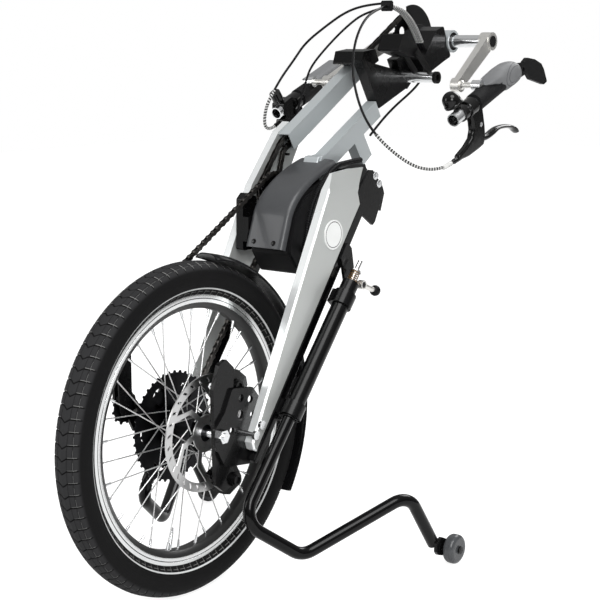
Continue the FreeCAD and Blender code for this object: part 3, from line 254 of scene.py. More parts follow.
def make_finishes():
    """Every finish of the model, by a short name."""
    m = {}
    m["frame"] = satin_paint("frame_silver", (0.43, 0.46, 0.47), metal=0.4)
    m["fork"] = satin_paint("fork_silver", (0.46, 0.475, 0.465), 0.34, 0.05, 0.45)
    m["black"] = gloss_paint("black_powder_coat", (0.0015, 0.0015, 0.0017))
    m["satin_black"] = gloss_paint("satin_black_metal", (0.0025, 0.0025, 0.0027), 0.26)
    m["alloy"] = polished("polished_alloy")
    m["steel"] = polished("bright_steel", (0.68, 0.68, 0.68), 0.26)
    m["disc"] = polished("disc_steel", (0.62, 0.62, 0.62), 0.28, (1.0, 6.0, 6.0))
    m["cog"] = polished("black_cog_steel", (0.018, 0.018, 0.020), 0.34)
    m["chain"] = polished("oiled_chain", (0.09, 0.085, 0.08), 0.30)
    m["plastic"] = plastic("black_plastic", (0.003, 0.003, 0.0032), 0.42)
    m["motor"] = plastic("motor_cover_grey", (0.040, 0.0415, 0.044), 0.36, 900.0, 0.00008, 0.15, 0.3)
    m["housing"] = plastic("motor_housing_dark", (0.006, 0.006, 0.0065), 0.48)
    m["rubber"] = plastic("grip_rubber", (0.006, 0.006, 0.0065), 0.62, 420.0, 0.0003)
    m["palm"] = plastic("palm_grey", (0.135, 0.138, 0.142), 0.55, 520.0, 0.0002)
    m["palm_left"] = contoured_palm()
    m["gloss"] = plastic("gloss_black_plastic", (0.002, 0.002, 0.002), 0.10, 300.0, 0.00002, 0.35)
    m["bronze"] = polished("bronze_spring", (0.32, 0.20, 0.10), 0.30)
    m["castor"] = plastic("castor_grey", (0.045, 0.047, 0.05), 0.22, 200.0, 0.00004, 0.4)
    m["cord"] = plastic("cable_black", (0.004, 0.004, 0.0045), 0.34, 500.0, 0.00005)
    m["white"] = plastic("sleeve_white", (0.50, 0.50, 0.49), 0.36, 300.0, 0.00004, 0.1)
    # Painted highlight: a paler silver for the fork legs' chamfer faces, standing in for the light along
    # their edges.
    m["fork_edge"] = satin_paint("fork_edge_silver", (0.80, 0.82, 0.82), 0.28, 0.02)
    m["disc_cap"] = ringed_cap()
    m["arm"] = polished("arm_warm_alloy", (0.78, 0.77, 0.74), 0.38, (6.0, 1.0, 1.0))
    m["mudguard"] = plastic("mudguard_black", (0.004, 0.004, 0.0045), 0.26, 300.0, 0.00004)
    m["hub"] = polished("hub_dark_metal", (0.03, 0.03, 0.032), 0.34)
    m["wrapped"] = wrapped_cord()
    m["hose"] = plastic("hose_black", (0.004, 0.004, 0.0045), 0.30, 400.0, 0.00004)
    m["tyre"] = tyre_rubber()
    m["rim"] = rim_metal()
    return m


# Surfaces
def add_mesh(name, points, faces, body, finish, replaces=(), uv=None, smooth=True, sharp=None,
             bevel=0.0, marks=None, rounds=2):
    """Puts arrays of points in metres and faces in a mesh, rides it on a body and gives it its finish.
    Edges above the angle sharp stay sharp; bevel rounds the edges; marks holds a value for each point."""
    mesh = bpy.data.meshes.new(name)
    mesh.from_pydata(np.asarray(points, float).tolist(), [], [list(map(int, f)) for f in faces])
    if uv is not None:
        layer = mesh.uv_layers.new(name="UVMap")
        index = np.empty(len(mesh.loops), np.int64)
        mesh.loops.foreach_get("vertex_index", index)
        layer.data.foreach_set("uv", np.asarray(uv, float)[index].ravel())
    if smooth:
        mesh.polygons.foreach_set("use_smooth", np.ones(len(mesh.polygons), bool))
    if marks is not None:
        mesh.attributes.new("marks", "FLOAT", "POINT").data.foreach_set("value",
                np.asarray(marks, np.float32))
    mesh.validate()
    mesh.update()
    obj = bpy.data.objects.new(name, mesh)
    bpy.context.scene.collection.objects.link(obj)
    mesh.materials.append(finish.m)
    if bevel:
        b = obj.modifiers.new("edges", "BEVEL")
        b.width, b.segments, b.limit_method, b.angle_limit = bevel, rounds, "ANGLE", math.radians(40)
        shade = obj.modifiers.new("shade", "WEIGHTED_NORMAL")
        shade.weight = 60
    if sharp:
        mesh.set_sharp_from_angle(angle=math.radians(sharp))
    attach(obj, body)
    if replaces:
        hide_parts(*replaces)
    return obj


def grid_faces(nu, nv, close_u=False, close_v=False, start=0):
    """Quads of an nu by nv grid stored row by row."""
    u = np.arange(nu if close_u else nu - 1)
    v = np.arange(nv if close_v else nv - 1)
    a, b = np.meshgrid(u, v, indexing="ij")
    a2, b2 = (a + 1) % nu, (b + 1) % nv
    q = np.stack([a * nv + b, a2 * nv + b, a2 * nv + b2, a * nv + b2], -1).reshape(-1, 4)
    return (q + start).tolist()


def lathe(profile, centre, turns=180, start=0.0):
    """A closed profile of (x, r) turned about X: point (x, r sin t, r cos t) for t once round."""
    p = np.asarray(profile, float)
    t = start + np.linspace(0, 2 * math.pi, turns, endpoint=False)
    x = np.broadcast_to(p[None, :, 0], (turns, len(p)))
    y = p[None, :, 1] * np.sin(t)[:, None]
    z = p[None, :, 1] * np.cos(t)[:, None]
    pts = np.stack([x, y, z], -1).reshape(-1, 3) + np.asarray(centre)
    return pts, grid_faces(turns, len(p), True, True)


def smooth_line(points):
    """The line of a NURBS spline with these route points, in millimetres, as its control points."""
    curve = bpy.data.curves.new("route", "CURVE")
    curve.dimensions = "3D"
    curve.resolution_u = 12
    spline = curve.splines.new("NURBS")
    spline.points.add(len(points) - 1)
    for point, (x, y, z) in zip(spline.points, points):
        point.co = (x / 1000, y / 1000, z / 1000, 1)
    spline.order_u = 3
    spline.use_endpoint_u = True
    holder = bpy.data.objects.new("route", curve)
    bpy.context.scene.collection.objects.link(holder)
    bpy.context.view_layer.update()
    mesh = bpy.data.meshes.new_from_object(holder)
    line = np.empty(3 * len(mesh.vertices))
    mesh.vertices.foreach_get("co", line)
    bpy.data.objects.remove(holder)
    bpy.data.curves.remove(curve)
    bpy.data.meshes.remove(mesh)
    return line.reshape(-1, 3)


def arc_length(line):
    return np.concatenate([[0], np.cumsum(np.linalg.norm(np.diff(line, axis=0), axis=1))])


def resample(line, spacing):
    """The same line with even steps."""
    s = arc_length(line)
    n = max(2, int(round(s[-1] / spacing)) + 1)
    at = np.linspace(0, s[-1], n)
    return np.stack([np.interp(at, s, line[:, k]) for k in range(3)], -1), at


def frames(line, up):
    """Tangent, side and lift directions along a line, from one steady reference direction."""
    t = np.gradient(line, axis=0)
    t /= np.linalg.norm(t, axis=1)[:, None]
    up = np.asarray(up, float)
    side = np.cross(t, up)
    side /= np.linalg.norm(side, axis=1)[:, None]
    return t, side, np.cross(side, t)


def tube(line, radius, up=(0, 0, 1), sides=16):
    """A closed tube round a line: centre + r (cos a side + sin a top); radius may vary along it."""
    _, side, top = frames(line, up)
    a = np.linspace(0, 2 * math.pi, sides, endpoint=False)
    r = np.broadcast_to(np.asarray(radius, float), (len(line),))[:, None, None]
    ring = np.cos(a)[None, :, None] * side[:, None] + np.sin(a)[None, :, None] * top[:, None]
    pts = (line[:, None] + r * ring).reshape(-1, 3)
    faces = grid_faces(len(line), sides, False, True)
    faces.append(list(range(sides)))
    faces.append(list(range(len(line) * sides - 1, (len(line) - 1) * sides - 1, -1)))
    return pts, faces


def loft(points):
    """Rows of closed rings as one body with flat ends; points is rows by ring by 3."""
    n, m = points.shape[:2]
    faces = grid_faces(n, m, False, True) + [list(range(m)), list(range((n - 1) * m, n * m))[::-1]]
    return points.reshape(-1, 3), faces


def join(parts):
    """Several (points, faces) as one."""
    pts, faces, n = [], [], 0
    for p, f in parts:
        pts.append(np.asarray(p))
        faces += [[i + n for i in q] for q in f]
        n += len(p)
    return np.vstack(pts), faces


def prism(outline, x0, x1):
    """A plate: the same (y, z) outline at x0 and x1."""
    o = np.asarray(outline, float)
    n = len(o)
    if np.sum(o[:, 0] * np.roll(o[:, 1], -1) - np.roll(o[:, 0], -1) * o[:, 1]) < 0:
        o = o[::-1]
    if x1 < x0:
        x0, x1 = x1, x0
    pts = np.vstack([np.c_[np.full(n, x0), o], np.c_[np.full(n, x1), o]])
    faces = [list(range(n - 1, -1, -1)), list(range(n, 2 * n))]
    faces += [[i, (i + 1) % n, (i + 1) % n + n, i + n] for i in range(n)]
    return pts, faces


def cylinder(x0, x1, y, z, radius, sides=40, bore=0.0, edge=0.0):
    """A disc or ring across the unit with broken edges."""
    r, e = radius, edge
    if bore:
        prof = [(x0, bore), (x0, r - e), (x0 + e, r), (x1 - e, r), (x1, r - e), (x1, bore)]
        return lathe(prof, (0, y, z), sides)
    prof = [(x0, r - e), (x0 + e, r), (x1 - e, r), (x1, r - e)]
    pts, _ = lathe(prof, (0, y, z), sides)
    faces = grid_faces(sides, 4, True, False)
    faces.append([4 * k for k in range(sides)])
    faces.append([4 * k + 3 for k in range(sides)][::-1])
    return pts, faces


def outward(obj):
    """Turns the faces of a closed piece outwards."""
    bm = bmesh.new()
    bm.from_mesh(obj.data)
    bmesh.ops.remove_doubles(bm, verts=bm.verts, dist=1e-6)
    bmesh.ops.recalc_face_normals(bm, faces=bm.faces)
    bm.to_mesh(obj.data)
    bm.free()
    return obj


M = {}


# Wheel
TYRE_HALF = [(11.8, 203.8), (13.2, 210.0), (17.5, 212.6), (22.6, 217.5), (26.0, 225.0), (27.0, 233.0),
             (26.4, 240.0), (24.4, 246.0), (21.2, 250.6), (16.5, 253.8), (10.0, 256.0), (0.0, 257.2)]


CENTRE_ROW = 8.6


def tyre_section():
    """Half of the tyre's section, bead to crown, with its points closest together on the tread."""
    key = np.array(TYRE_HALF)
    run = np.concatenate([[0], np.cumsum(np.hypot(*np.diff(key, axis=0).T))])
    wall = np.interp(23.8, key[::-1, 0][:4], run[::-1][:4])
    at = np.concatenate([np.linspace(0, wall, 11)[:-1], np.linspace(wall, run[-1], 27)])
    half = np.c_[np.interp(at, run, key[:, 0]), np.interp(at, run, key[:, 1])]
    for _ in range(3):
        half[1:-1] = (half[:-2] + 2 * half[1:-1] + half[2:]) / 4
    return half


def lean_of(off, inner):
    """How far a cross groove runs ahead, in blocks, at this distance from the middle in mm:
    V ends in the centre row only. It takes arrays or sockets."""
    return inner * (0.56 - off * 0.036) + (1.0 - inner) * (0.30 - off * 0.004)


def make_tyre(s):
    """The section carried round the axle, sunk by the grooves: cross grooves repeat once per block
    and lean with the distance from the middle, so the centre blocks have V ends; two grooves run round
    on each side."""
    half = tyre_section()
    section = np.vstack([half, (half[:-1] * [-1, 1])[::-1]])
    turns = 14 * s.tread_rows
    t = np.linspace(0, 2 * math.pi, turns, endpoint=False)[:, None]
    x, r = section[None, :, 0], section[None, :, 1]
    off = np.abs(x)
    phase = (t * s.tread_rows / (2 * math.pi) + lean_of(off, off < CENTRE_ROW)) % 1.0
    to_gap = np.minimum(phase, 1 - phase)
    across = 1 - np.clip((to_gap - 0.01) / 0.055, 0, 1)
    along = 1 - np.clip((np.minimum(np.abs(off - 8.8), np.abs(off - 16.6)) - 0.1) / 0.5, 0, 1)
    tread = np.clip((23.0 - off) / 0.6, 0, 1) * (r > 244)
    groove = np.maximum(across, along) * tread
    radius = r - groove * s.tread_depth * 1000 + 0.7 * tread
    wide = np.broadcast_to(x, radius.shape)
    points = np.stack([wide, radius * np.sin(t), radius * np.cos(t)], -1).reshape(-1, 3) / 1000 + AXLE
    faces = [q[::-1] for q in grid_faces(turns, len(section), True, True)]
    return add_mesh("tyre_with_tread", points, faces, "wheel", M["tyre"], ["tyre"],
                    marks=groove.ravel())


def tyre_rubber():
    """Black rubber: block tops dusty grey, grooves black, moulding lines pale, with fine rings and
    a thin pale line on the sidewall."""
    f = Finish("tyre_rubber", (0.012, 0.012, 0.012), 0.7, spec=0.1)
    x, y, z = f.place()
    up = z - float(AXLE[2])
    r = y.length(up) * 1000.0
    off = x.abs() * 1000.0
    groove = f.node("ShaderNodeAttribute", {"attribute_name": "marks"}, out="Fac")
    dust = f.noise(55.0, 4.0)
    top = r.step(244.0, 250.0)
    base = f.mix(top, (0.004, 0.004, 0.0042), (0.018, 0.018, 0.019))
    base = f.mix(dust * top * 0.5, base, (0.030, 0.030, 0.031))
    # Painted shade: the sunk grooves, read from the marks attribute, are painted near black.
    base = f.mix(groove, base, (0.0015, 0.0015, 0.0015))
    turn = y.angle(up) * (88.0 / 6.2832) + lean_of(off, off < CENTRE_ROW)
    cut = turn.frac()
    # Painted shade: the places of the cross grooves across the tread are painted near black.
    dark = (cut < 0.05) + (cut > 0.95)
    base = f.mix(dark * (off < 22.6), base, (0.001, 0.001, 0.001))
    # Painted highlights: pale lines along the outer groove's edge and just behind each cross groove.
    painted_ridge_highlight = ((off - 17.6).abs() < 0.25) * (cut < 0.7)
    pale = painted_ridge_highlight + ((cut - 0.085).abs() < 0.02) * (off > 9.6) * (off < 22.0)
    base = f.mix(pale * 0.75, base, (0.20, 0.20, 0.195))
    line = ((r - 217.4).abs() < 1.1) * (x.abs() > 0.012)
    f.put("Base Color", f.mix(line, base, (0.50, 0.51, 0.51)))
    f.put("Roughness", 0.62 - line * 0.3 + dust * 0.12)
    rings = (r * 1.9).sin() * (r < 243.0)
    f.bump(f.noise(700.0, 2.0) * 0.5 + rings * 0.25, 0.0003, 0.6)
    return f


def rim_metal():
    """Polished band with turning marks and one dark line; the deep inner face is black."""
    f = Finish("rim_metal", (0.7, 0.7, 0.7), 0.2, 1.0)
    _, y, z = f.place()
    r = y.length(z - float(AXLE[2])) * 1000.0
    marks = f.noise(3.0, 4.0, vector=f.node("ShaderNodeCombineXYZ", {}, {0: r * 1.4, 1: 0.0, 2: 0.0}))
    inner = r < 195.8
    groove = (r - 201.7).abs() < 0.6
    base = f.mix(marks, (0.60, 0.61, 0.61), (0.82, 0.83, 0.83))
    base = f.mix(inner, base, (0.010, 0.010, 0.010))
    f.put("Base Color", f.mix(groove, base, (0.06, 0.06, 0.06)))
    f.put("Metallic", 1.0 - inner)
    f.put("Roughness", inner * 0.12 + 0.16 + marks * 0.10)
    f.bump(marks, 0.0001, 0.4)
    return f


RIM_HALF = [(0.0, 186.0), (7.0, 186.0), (9.0, 187.0), (13.4, 195.0), (14.0, 196.2), (14.0, 201.0),
            (13.5, 201.4), (13.5, 202.0), (14.0, 202.4), (14.0, 207.5), (13.6, 208.8), (12.9, 209.0),
            (12.2, 208.6), (12.0, 207.4), (12.0, 203.7), (8.0, 203.5), (0.0, 203.5)]


def make_rim(s):
    """Deep box rim turned about the axle: hooked flanges, a flat band with a fine step, sloping sides."""
    ring = RIM_HALF + [(-x, r) for x, r in RIM_HALF[1:-1][::-1]]
    points, faces = lathe(ring, (0, 0, 0), 240)
    return outward(add_mesh("rim_profile", points / 1000 + AXLE, faces, "wheel", M["rim"],
                            ["rim"], sharp=35))


def make_spokes(s):
    """Crossed spokes: straight cylinders from the flange holes to the rim, each with a head and a nipple."""
    wires, nipples = [], []
    for k in range(36):
        side = 1 if k % 2 else -1
        lean = 1 if (k // 2) % 2 else -1
        at_rim = math.radians(k * 10.0 + 4.0)
        at_hub = at_rim + lean * math.radians(58.0)
        flange = 32.0 if side > 0 else -19.0
        a = np.array([flange + lean * 3.1, 28.0 * math.cos(at_hub), 28.0 * math.sin(at_hub)])
        b = np.array([side * 3.0, 186.5 * math.cos(at_rim), 186.5 * math.sin(at_rim)])
        u = (b - a) / np.linalg.norm(b - a)
        gauge = s.spoke_gauge * 500
        wires.append(tube(np.array([a, a + u * 5, b]), gauge, (1, 0, 0), 10))
        wires.append(tube(np.array([a - u * 0.4, a + u * 0.9]), 1.8, (1, 0, 0), 10))
        nipples.append(tube(np.array([b - u * 13, b - u * 12.5, b - u * 3, b]), [1.4, 2.0, 2.1, 2.5],
                            (1, 0, 0), 10))
    points, faces = join(wires)
    add_mesh("spokes_crossed", points / 1000 + AXLE, faces, "wheel", M["steel"], ["spokes"],
             sharp=40)
    points, faces = join(nipples)
    add_mesh("spoke_nipples", points / 1000 + AXLE, faces, "wheel", M["alloy"], sharp=40)
    out = np.array([0, math.cos(math.radians(-103)), math.sin(math.radians(-103))])
    stem = np.outer([186, 176, 175, 160, 159, 152.2, 152], out)
    points, faces = tube(stem, [3.0, 3.0, 2.6, 2.6, 2.2, 2.2, 1.2], (1, 0, 0), 20)
    return add_mesh("tyre_valve_stem", points / 1000 + AXLE, faces, "wheel", M["alloy"],
                    sharp=40)


# Carried-over metal and plastic
def dress(name, finish, edge=0.0, zones=()):
    """Gives a CAD node its finish; zones are (test of the face centres, finish) for its other pieces.
    An edge above 0 welds the mesh and rounds its sharp edges by that width."""
    obj = NODES[name]
    mesh = obj.data
    mesh.materials.clear()
    mesh.materials.append(finish.m)
    index = np.zeros(len(mesh.polygons), np.int32)
    if zones:
        centre = np.empty(3 * len(mesh.polygons))
        mesh.polygons.foreach_get("center", centre)
        centre = centre.reshape(-1, 3) * 1000
        normal = np.empty(3 * len(mesh.polygons))
        mesh.polygons.foreach_get("normal", normal)
        for k, (test, other) in enumerate(zones, 1):
            mesh.materials.append(other.m)
            index[test(*centre.T, normal.reshape(-1, 3))] = k
    mesh.polygons.foreach_set("material_index", index)
    if edge:
        weld = obj.modifiers.new("weld", "WELD")
        weld.merge_threshold = 1e-5
        bevel = obj.modifiers.new("edges", "BEVEL")
        bevel.width, bevel.segments = edge / 1000, 2
        bevel.limit_method, bevel.angle_limit = "ANGLE", math.radians(35)
        weighted = obj.modifiers.new("shade", "WEIGHTED_NORMAL")
        weighted.weight = 60
        custom = mesh.attributes.get("custom_normal")
        if custom:
            mesh.attributes.remove(custom)
        mesh.polygons.foreach_set("use_smooth", np.ones(len(mesh.polygons), bool))
    return obj


def dress_all(names, finish, edge=0.0):
    """One finish for several nodes; returns the last of them."""
    return [dress(name, finish, edge) for name in names.split()][-1]


def near(y, z, radius, outside=0.0):
    """A test for the faces within radius of a line across the unit, more than outside from the middle."""
    return lambda fx, fy, fz, n: (np.hypot(fy - y, fz - z) < radius) & (np.abs(fx) >= outside)


CRANK_AXIS = (694.0, 839.0)
DISC_AXIS = (258.0, 536.0)
LATCH_BALL = (338.0, 437.5)


def on_bevel(fx, fy, fz, n):
    """A test for the faces that don't look sideways."""
    return np.abs(n[:, 0]) < 0.92


def on_tube_end(fx, fy, fz, n):
    """A test for the accessory tube's plug."""
    return fx > 71.5


def make_frame(s):
    """Legs, tubes, posts and clamps keep the CAD form, with broken edges and their own finishes."""
    e = s.edge_width * 1000
    cap = near(*DISC_AXIS, 24.5, 74.4)
    # The chamfer faces of both legs get the painted highlight finish.
    dress("left_fork_leg", M["fork"], 0, [(on_bevel, M["fork_edge"]), (cap, M["disc_cap"])])
    dress("right_fork_leg", M["fork"], 0, [(on_bevel, M["fork_edge"])])
    dress_all("chain_tube lower_tube cross_tube", M["frame"])
    dress("crank_shell", M["frame"], 0, [(near(*CRANK_AXIS, 16.5), M["satin_black"])])
    dress("accessory_tube", M["alloy"], 0, [(on_tube_end, M["plastic"])])
    dress_all("head_plate shell_clamp dropouts caliper_bracket brake_calipers", M["satin_black"], e)
    dress("display_mount", M["plastic"], e)
    dress("axle_and_bolts", M["alloy"])
    return dress_all("posts steering_head dock_yoke", M["black"], e)


def make_drive(s):
    """Motor housing, jackshaft, sprockets, upper chain, derailleur, hub and disc in their finishes."""
    e = s.edge_width * 1000
    dress("motor_housing", M["housing"])
    dress_all("jackshaft cassette chainring derailleur_pulleys", M["cog"])
    dress_all("chain_guides derailleur_cage", M["satin_black"], e)
    dress("chain_guard", M["plastic"], e)
    dress("upper_chain", M["chain"])
    dress("hub_shell", M["hub"])
    return dress("brake_disc", M["disc"])


def make_cranks(s):
    """Spindle, crank arms and handle bars in silver."""
    dress("crank_arms", M["arm"], 0, [(near(*CRANK_AXIS, 10.3, 100.0), M["plastic"])])
    return dress_all("crank_spindle left_handle_bar right_handle_bar", M["alloy"])


def on_bar_place(y, z):
    """How far a point is along the handle's bar from below its pin, and how far above its axis, in mm."""
    dy, dz = y - PIN_Y, z - PIN_Z
    return dy * BAR_COS + dz * BAR_SIN, dz * BAR_COS - dy * BAR_SIN


def on_palm(fx, fy, fz, n):
    """Tests for the faces of the palm piece: behind a slanting line, from its lower front to its top."""
    along, up = on_bar_place(fy, fz)
    return along > np.interp(up, [-18, -4, 22], [47, 37, 1.5]) - 1.0


def make_handles(s):
    """The right grip and palm, both hand rests and the right lever."""
    e = s.edge_width * 1000
    dress("right_grip", M["rubber"], 0, [(on_palm, M["palm"])])
    dress_all("left_hand_rest right_hand_rest", M["plastic"], e)
    return dress_all("right_brake_lever right_lever_body", M["gloss"], e)


def make_stand(s):
    """The stand's sleeves, the castors and the latch."""
    dress("stand_sleeves", M["satin_black"])
    dress_all("left_castor right_castor", M["castor"])
    dress("latch_rod", M["steel"])
    dress("latch_spring", M["bronze"])
    dress("latch_pivot", M["satin_black"], s.edge_width * 1000)
    return dress("latch_lever", M["arm"], 0, [(near(*LATCH_BALL, 9.2), M["plastic"])])


# Motor cover
COVER = [(193, 514), (204, 546), (216, 580), (248, 610), (302, 637), (336, 646)]


def make_cover(s):
    """The curved motor cover: a smooth line through the cover's outline, carried across the unit.
    At both sides the surface sinks by r - sqrt(r^2 - d^2), a quarter round of radius r."""
    line = smooth_line([(0, y, z) for y, z in COVER]) * 1000
    even, _ = resample(line, 3.0)
    along = np.gradient(even[:, 1:], axis=0)
    along /= np.linalg.norm(along, axis=1)[:, None]
    normal = np.c_[-along[:, 1], along[:, 0]]
    x0, x1, r, skin = -42.0, 35.0, 9.0, 2.2
    across = np.concatenate([x0 + r - r * np.cos(np.linspace(0, math.pi / 2, 8)),
                             np.linspace(x0 + r, x1 - r, 9)[1:-1],
                             x1 - r + r * np.sin(np.linspace(0, math.pi / 2, 8))])
    d = np.clip(np.maximum(x0 + r - across, across - (x1 - r)), 0, r)
    sink = r - np.sqrt(r * r - d * d)
    outer = 1.8 - np.clip(sink, 0, 8.0)
    inner = outer - skin
    ring_x = np.concatenate([across, across[::-1]])
    ring_n = np.concatenate([outer, inner[::-1]])
    yz = even[:, None, 1:] + normal[:, None, :] * ring_n[None, :, None]
    points, faces = loft(np.concatenate([np.broadcast_to(ring_x[None, :, None], yz.shape[:2] + (1,)), yz],
                                        -1))
    obj = add_mesh("motor_cover_shell", points / 1000, faces, "frame", M["motor"],
                   ["motor_cover"], sharp=50)
    outward(obj)
    screws = []
    for x, k in ((-24.0, 3), (16.0, 3)):
        seat = np.array([x, *even[k, 1:]])
        out = np.array([0.0, *normal[k]])
        screws.append(tube(np.array([seat, seat + out * 2.2, seat + out * 3.6, seat + out * 4.0]),
                           [4.2, 4.2, 3.2, 1.5], (1, 0, 0), 20))
    points, faces = join(screws)
    add_mesh("motor_cover_screws", points / 1000, faces, "frame", M["gloss"], sharp=30)
    return obj


# Mudguard and mounting plates
def make_mudguard(s):
    """A thin arched sheet carried round the axle from 11 to 124 degrees behind the top:
    at distance x from the middle its radius is 268 - 7 (x/32)^4, and its two edges are rolled."""
    x = np.linspace(-31.4, 31.4, 33)
    r = 268.0 - 7.0 * (x / 32) ** 4
    rolled = np.array([[32.4, r[0] + 1.2], [32.2, r[0] - 0.8], [31.0, r[0] - 0.9]])
    section = np.vstack([np.c_[x, r + 2.2], rolled, np.c_[x, r][1:-1][::-1], rolled[::-1] * [-1, 1]])
    t = np.radians(np.linspace(11.0, 124.0, 120))[:, None]
    tip = 0.62 + 0.38 * np.clip((np.degrees(t) - 11.0) / 6.0, 0, 1) ** 0.5
    wide = section[None, :, 0] * tip
    radius = np.broadcast_to(section[None, :, 1], wide.shape)
    points, faces = loft(np.stack([wide, radius * np.sin(t), radius * np.cos(t)], -1))
    return outward(add_mesh("mudguard_sheet", points / 1000 + AXLE, faces, "frame", M["mudguard"],
                            ["mudguard"], sharp=50))


PLATE = [(350, 587), (366, 596), (399, 628), (408, 627), (438, 596), (441, 589), (416, 540), (409, 534),
         (380, 553)]


def make_plates(s):
    """Black plates inside the tops of the legs, their bolts, the motor's feet and its silver top bracket."""
    parts = [prism(PLATE, *sorted((54.0 * side, 59.8 * side))) for side in (1, -1)]
    points, faces = join(parts)
    obj = add_mesh("leg_top_plates", points / 1000, faces, "frame", M["satin_black"],
                   bevel=0.0008, smooth=True)
    outward(obj)
    bolts = []
    for side in (1, -1):
        for y, z in ((415.0, 617.0), (426.0, 603.0)):
            bolts.append(cylinder(*sorted((52.0 * side, 63.5 * side)), y, z, 5.0, 6, 0.0, 0.8))
            bolts.append(cylinder(*sorted((52.0 * side, 60.8 * side)), y, z, 7.0, 28, 0.0, 0.4))
    points, faces = join(bolts)
    add_mesh("leg_top_bolts", points / 1000, faces, "frame", M["alloy"], sharp=30)
    feet = []
    for x in (-34.0, 20.0):
        feet.append(prism([(214, 540), (226, 560), (222, 571), (209, 545)], x, x + 8))
        feet.append(prism([(248, 596), (300, 614), (300, 634), (250, 607)], x, x + 8))
    points, faces = join(feet)
    outward(add_mesh("motor_feet", points / 1000, faces, "frame", M["satin_black"],
                     ["motor_brackets"], bevel=0.0005))
    points, faces = prism([(296, 612), (300, 630), (317, 640), (322, 652), (333, 653), (338, 640),
                           (336, 606)], -20, 10)
    outward(add_mesh("motor_top_bracket", points / 1000, faces, "frame", M["frame"],
                     bevel=0.0022, rounds=3))
    return obj


# Chains
PITCH = 12.7
LOWER_CHAIN_X = -46.8


def belt_line(circles):
    """A tight line round circles (y, z, radius, side): tangent runs and the arcs between them."""
    runs = []
    for i, (y0, z0, r0, s0) in enumerate(circles):
        y1, z1, r1, s1 = circles[(i + 1) % len(circles)]
        run = math.dist((y0, z0), (y1, z1))
        heading = math.atan2(z1 - z0, y1 - y0) - math.asin((s1 * r1 - s0 * r0) / run)
        ny, nz = -math.sin(heading), math.cos(heading)
        runs.append(((y0 - s0 * r0 * ny, z0 - s0 * r0 * nz), (y1 - s1 * r1 * ny, z1 - s1 * r1 * nz)))
    line = []
    for i, (y, z, r, side) in enumerate(circles):
        arrive, leave = runs[i - 1][1], runs[i][0]
        a0 = math.atan2(arrive[1] - z, arrive[0] - y)
        sweep = (math.atan2(leave[1] - z, leave[0] - y) - a0) * side % (2 * math.pi)
        a = a0 + side * np.linspace(0, sweep, max(2, int(sweep * r)), endpoint=False)
        line.append(np.c_[y + r * np.cos(a), z + r * np.sin(a)])
        line.append(np.linspace(*runs[i], int(math.dist(*runs[i])), endpoint=False))
    return np.vstack(line)


def chain_mesh(circles, x):
    """A chain on its belt line: pins at even steps, rollers, and waisted plates in inner and outer pairs."""
    line = belt_line(circles)
    line = np.vstack([line, line[:1]])
    run = np.concatenate([[0], np.cumsum(np.hypot(*np.diff(line, axis=0).T))])
    count = 2 * round(run[-1] / PITCH / 2)
    at = np.linspace(0, run[-1], count, endpoint=False)
    pins = np.c_[np.interp(at, run, line[:, 0]), np.interp(at, run, line[:, 1])]
    step = np.roll(pins, -1, axis=0) - pins
    length = np.hypot(*step.T)
    u = step / length[:, None]
    a = np.linspace(math.pi / 2, 3 * math.pi / 2, 7)
    near_end = np.c_[4.1 * np.cos(a), 4.1 * np.sin(a)]
    d = float(length.mean())
    far_end = np.c_[d - near_end[:, 0], -near_end[:, 1]]
    plate = np.vstack([near_end, [[d * 0.3, -3.2], [d / 2, -2.7], [d * 0.7, -3.2]], far_end,
                       [[d * 0.7, 3.2], [d / 2, 2.7], [d * 0.3, 3.2]]])
    parts = []

    def put(shape, links, lo, hi):
        y = pins[links, 0][:, None] + u[links, 0][:, None] * shape[:, 0] - u[links, 1][:, None] * shape[:, 1]
        z = pins[links, 1][:, None] + u[links, 1][:, None] * shape[:, 0] + u[links, 0][:, None] * shape[:, 1]
        n = len(shape)
        both = np.stack([np.stack([np.full_like(y, v), y, z], -1) for v in (lo, hi)], 1).reshape(-1, 3)
        cap = [list(range(n))[::-1], list(range(n, 2 * n))] + [[i, (i + 1) % n, (i + 1) % n + n,
                i + n] for i in range(n)]
        parts.append((both, [[i + 2 * n * k for i in f] for k in range(len(y)) for f in cap]))

    odd, even = np.arange(1, count, 2), np.arange(0, count, 2)
    for links, low, high in ((odd, 1.7, 2.5), (even, 2.6, 3.4)):
        put(plate, links, x + low, x + high)
        put(plate, links, x - high, x - low)
    b = np.linspace(0, 2 * math.pi, 10, endpoint=False)
    put(np.c_[3.5 * np.cos(b), 3.5 * np.sin(b)], np.arange(count), x - 1.6, x + 1.6)
    put(np.c_[1.7 * np.cos(b), 1.7 * np.sin(b)], np.arange(count), x - 3.8, x + 3.8)
    return join(parts)


def sprocket(teeth):
    """The pitch radius of a sprocket."""
    return PITCH / 2 / math.sin(math.pi / teeth)


LOWER_CHAIN = [(274.0, 595.0, sprocket(15), 1), (-90.0, 394.0, sprocket(11), 1),
               (-86.0, 300.0, sprocket(11), -1), (0.0, 258.0, sprocket(18), 1)]


def make_chains(s):
    """The lower chain with waisted plates, pins and rollers; the upper one keeps its CAD links."""
    points, faces = chain_mesh(LOWER_CHAIN, LOWER_CHAIN_X)
    obj = add_mesh("drive_chain", points / 1000, faces, "frame", M["chain"],
                   ["lower_chain"], smooth=False)
    return outward(obj)


# Stand tubes
def bar_line(points, bend, arc=12):
    """A bent bar's line: straight runs joined by arcs of one radius."""
    p = np.asarray(points, float)
    line = [p[0]]
    for k in range(1, len(p) - 1):
        u = (p[k] - p[k - 1]) / np.linalg.norm(p[k] - p[k - 1])
        w = (p[k + 1] - p[k]) / np.linalg.norm(p[k + 1] - p[k])
        angle = math.acos(float(np.clip(u @ w, -1, 1)))
        trim = bend * math.tan(angle / 2)
        side = w - u * (u @ w)
        side /= np.linalg.norm(side)
        a = np.linspace(0, angle, arc)[:, None]
        line += list(p[k] - u * trim + bend * (np.sin(a) * u + (1 - np.cos(a)) * side))
    line.append(p[-1])
    return np.array(line)


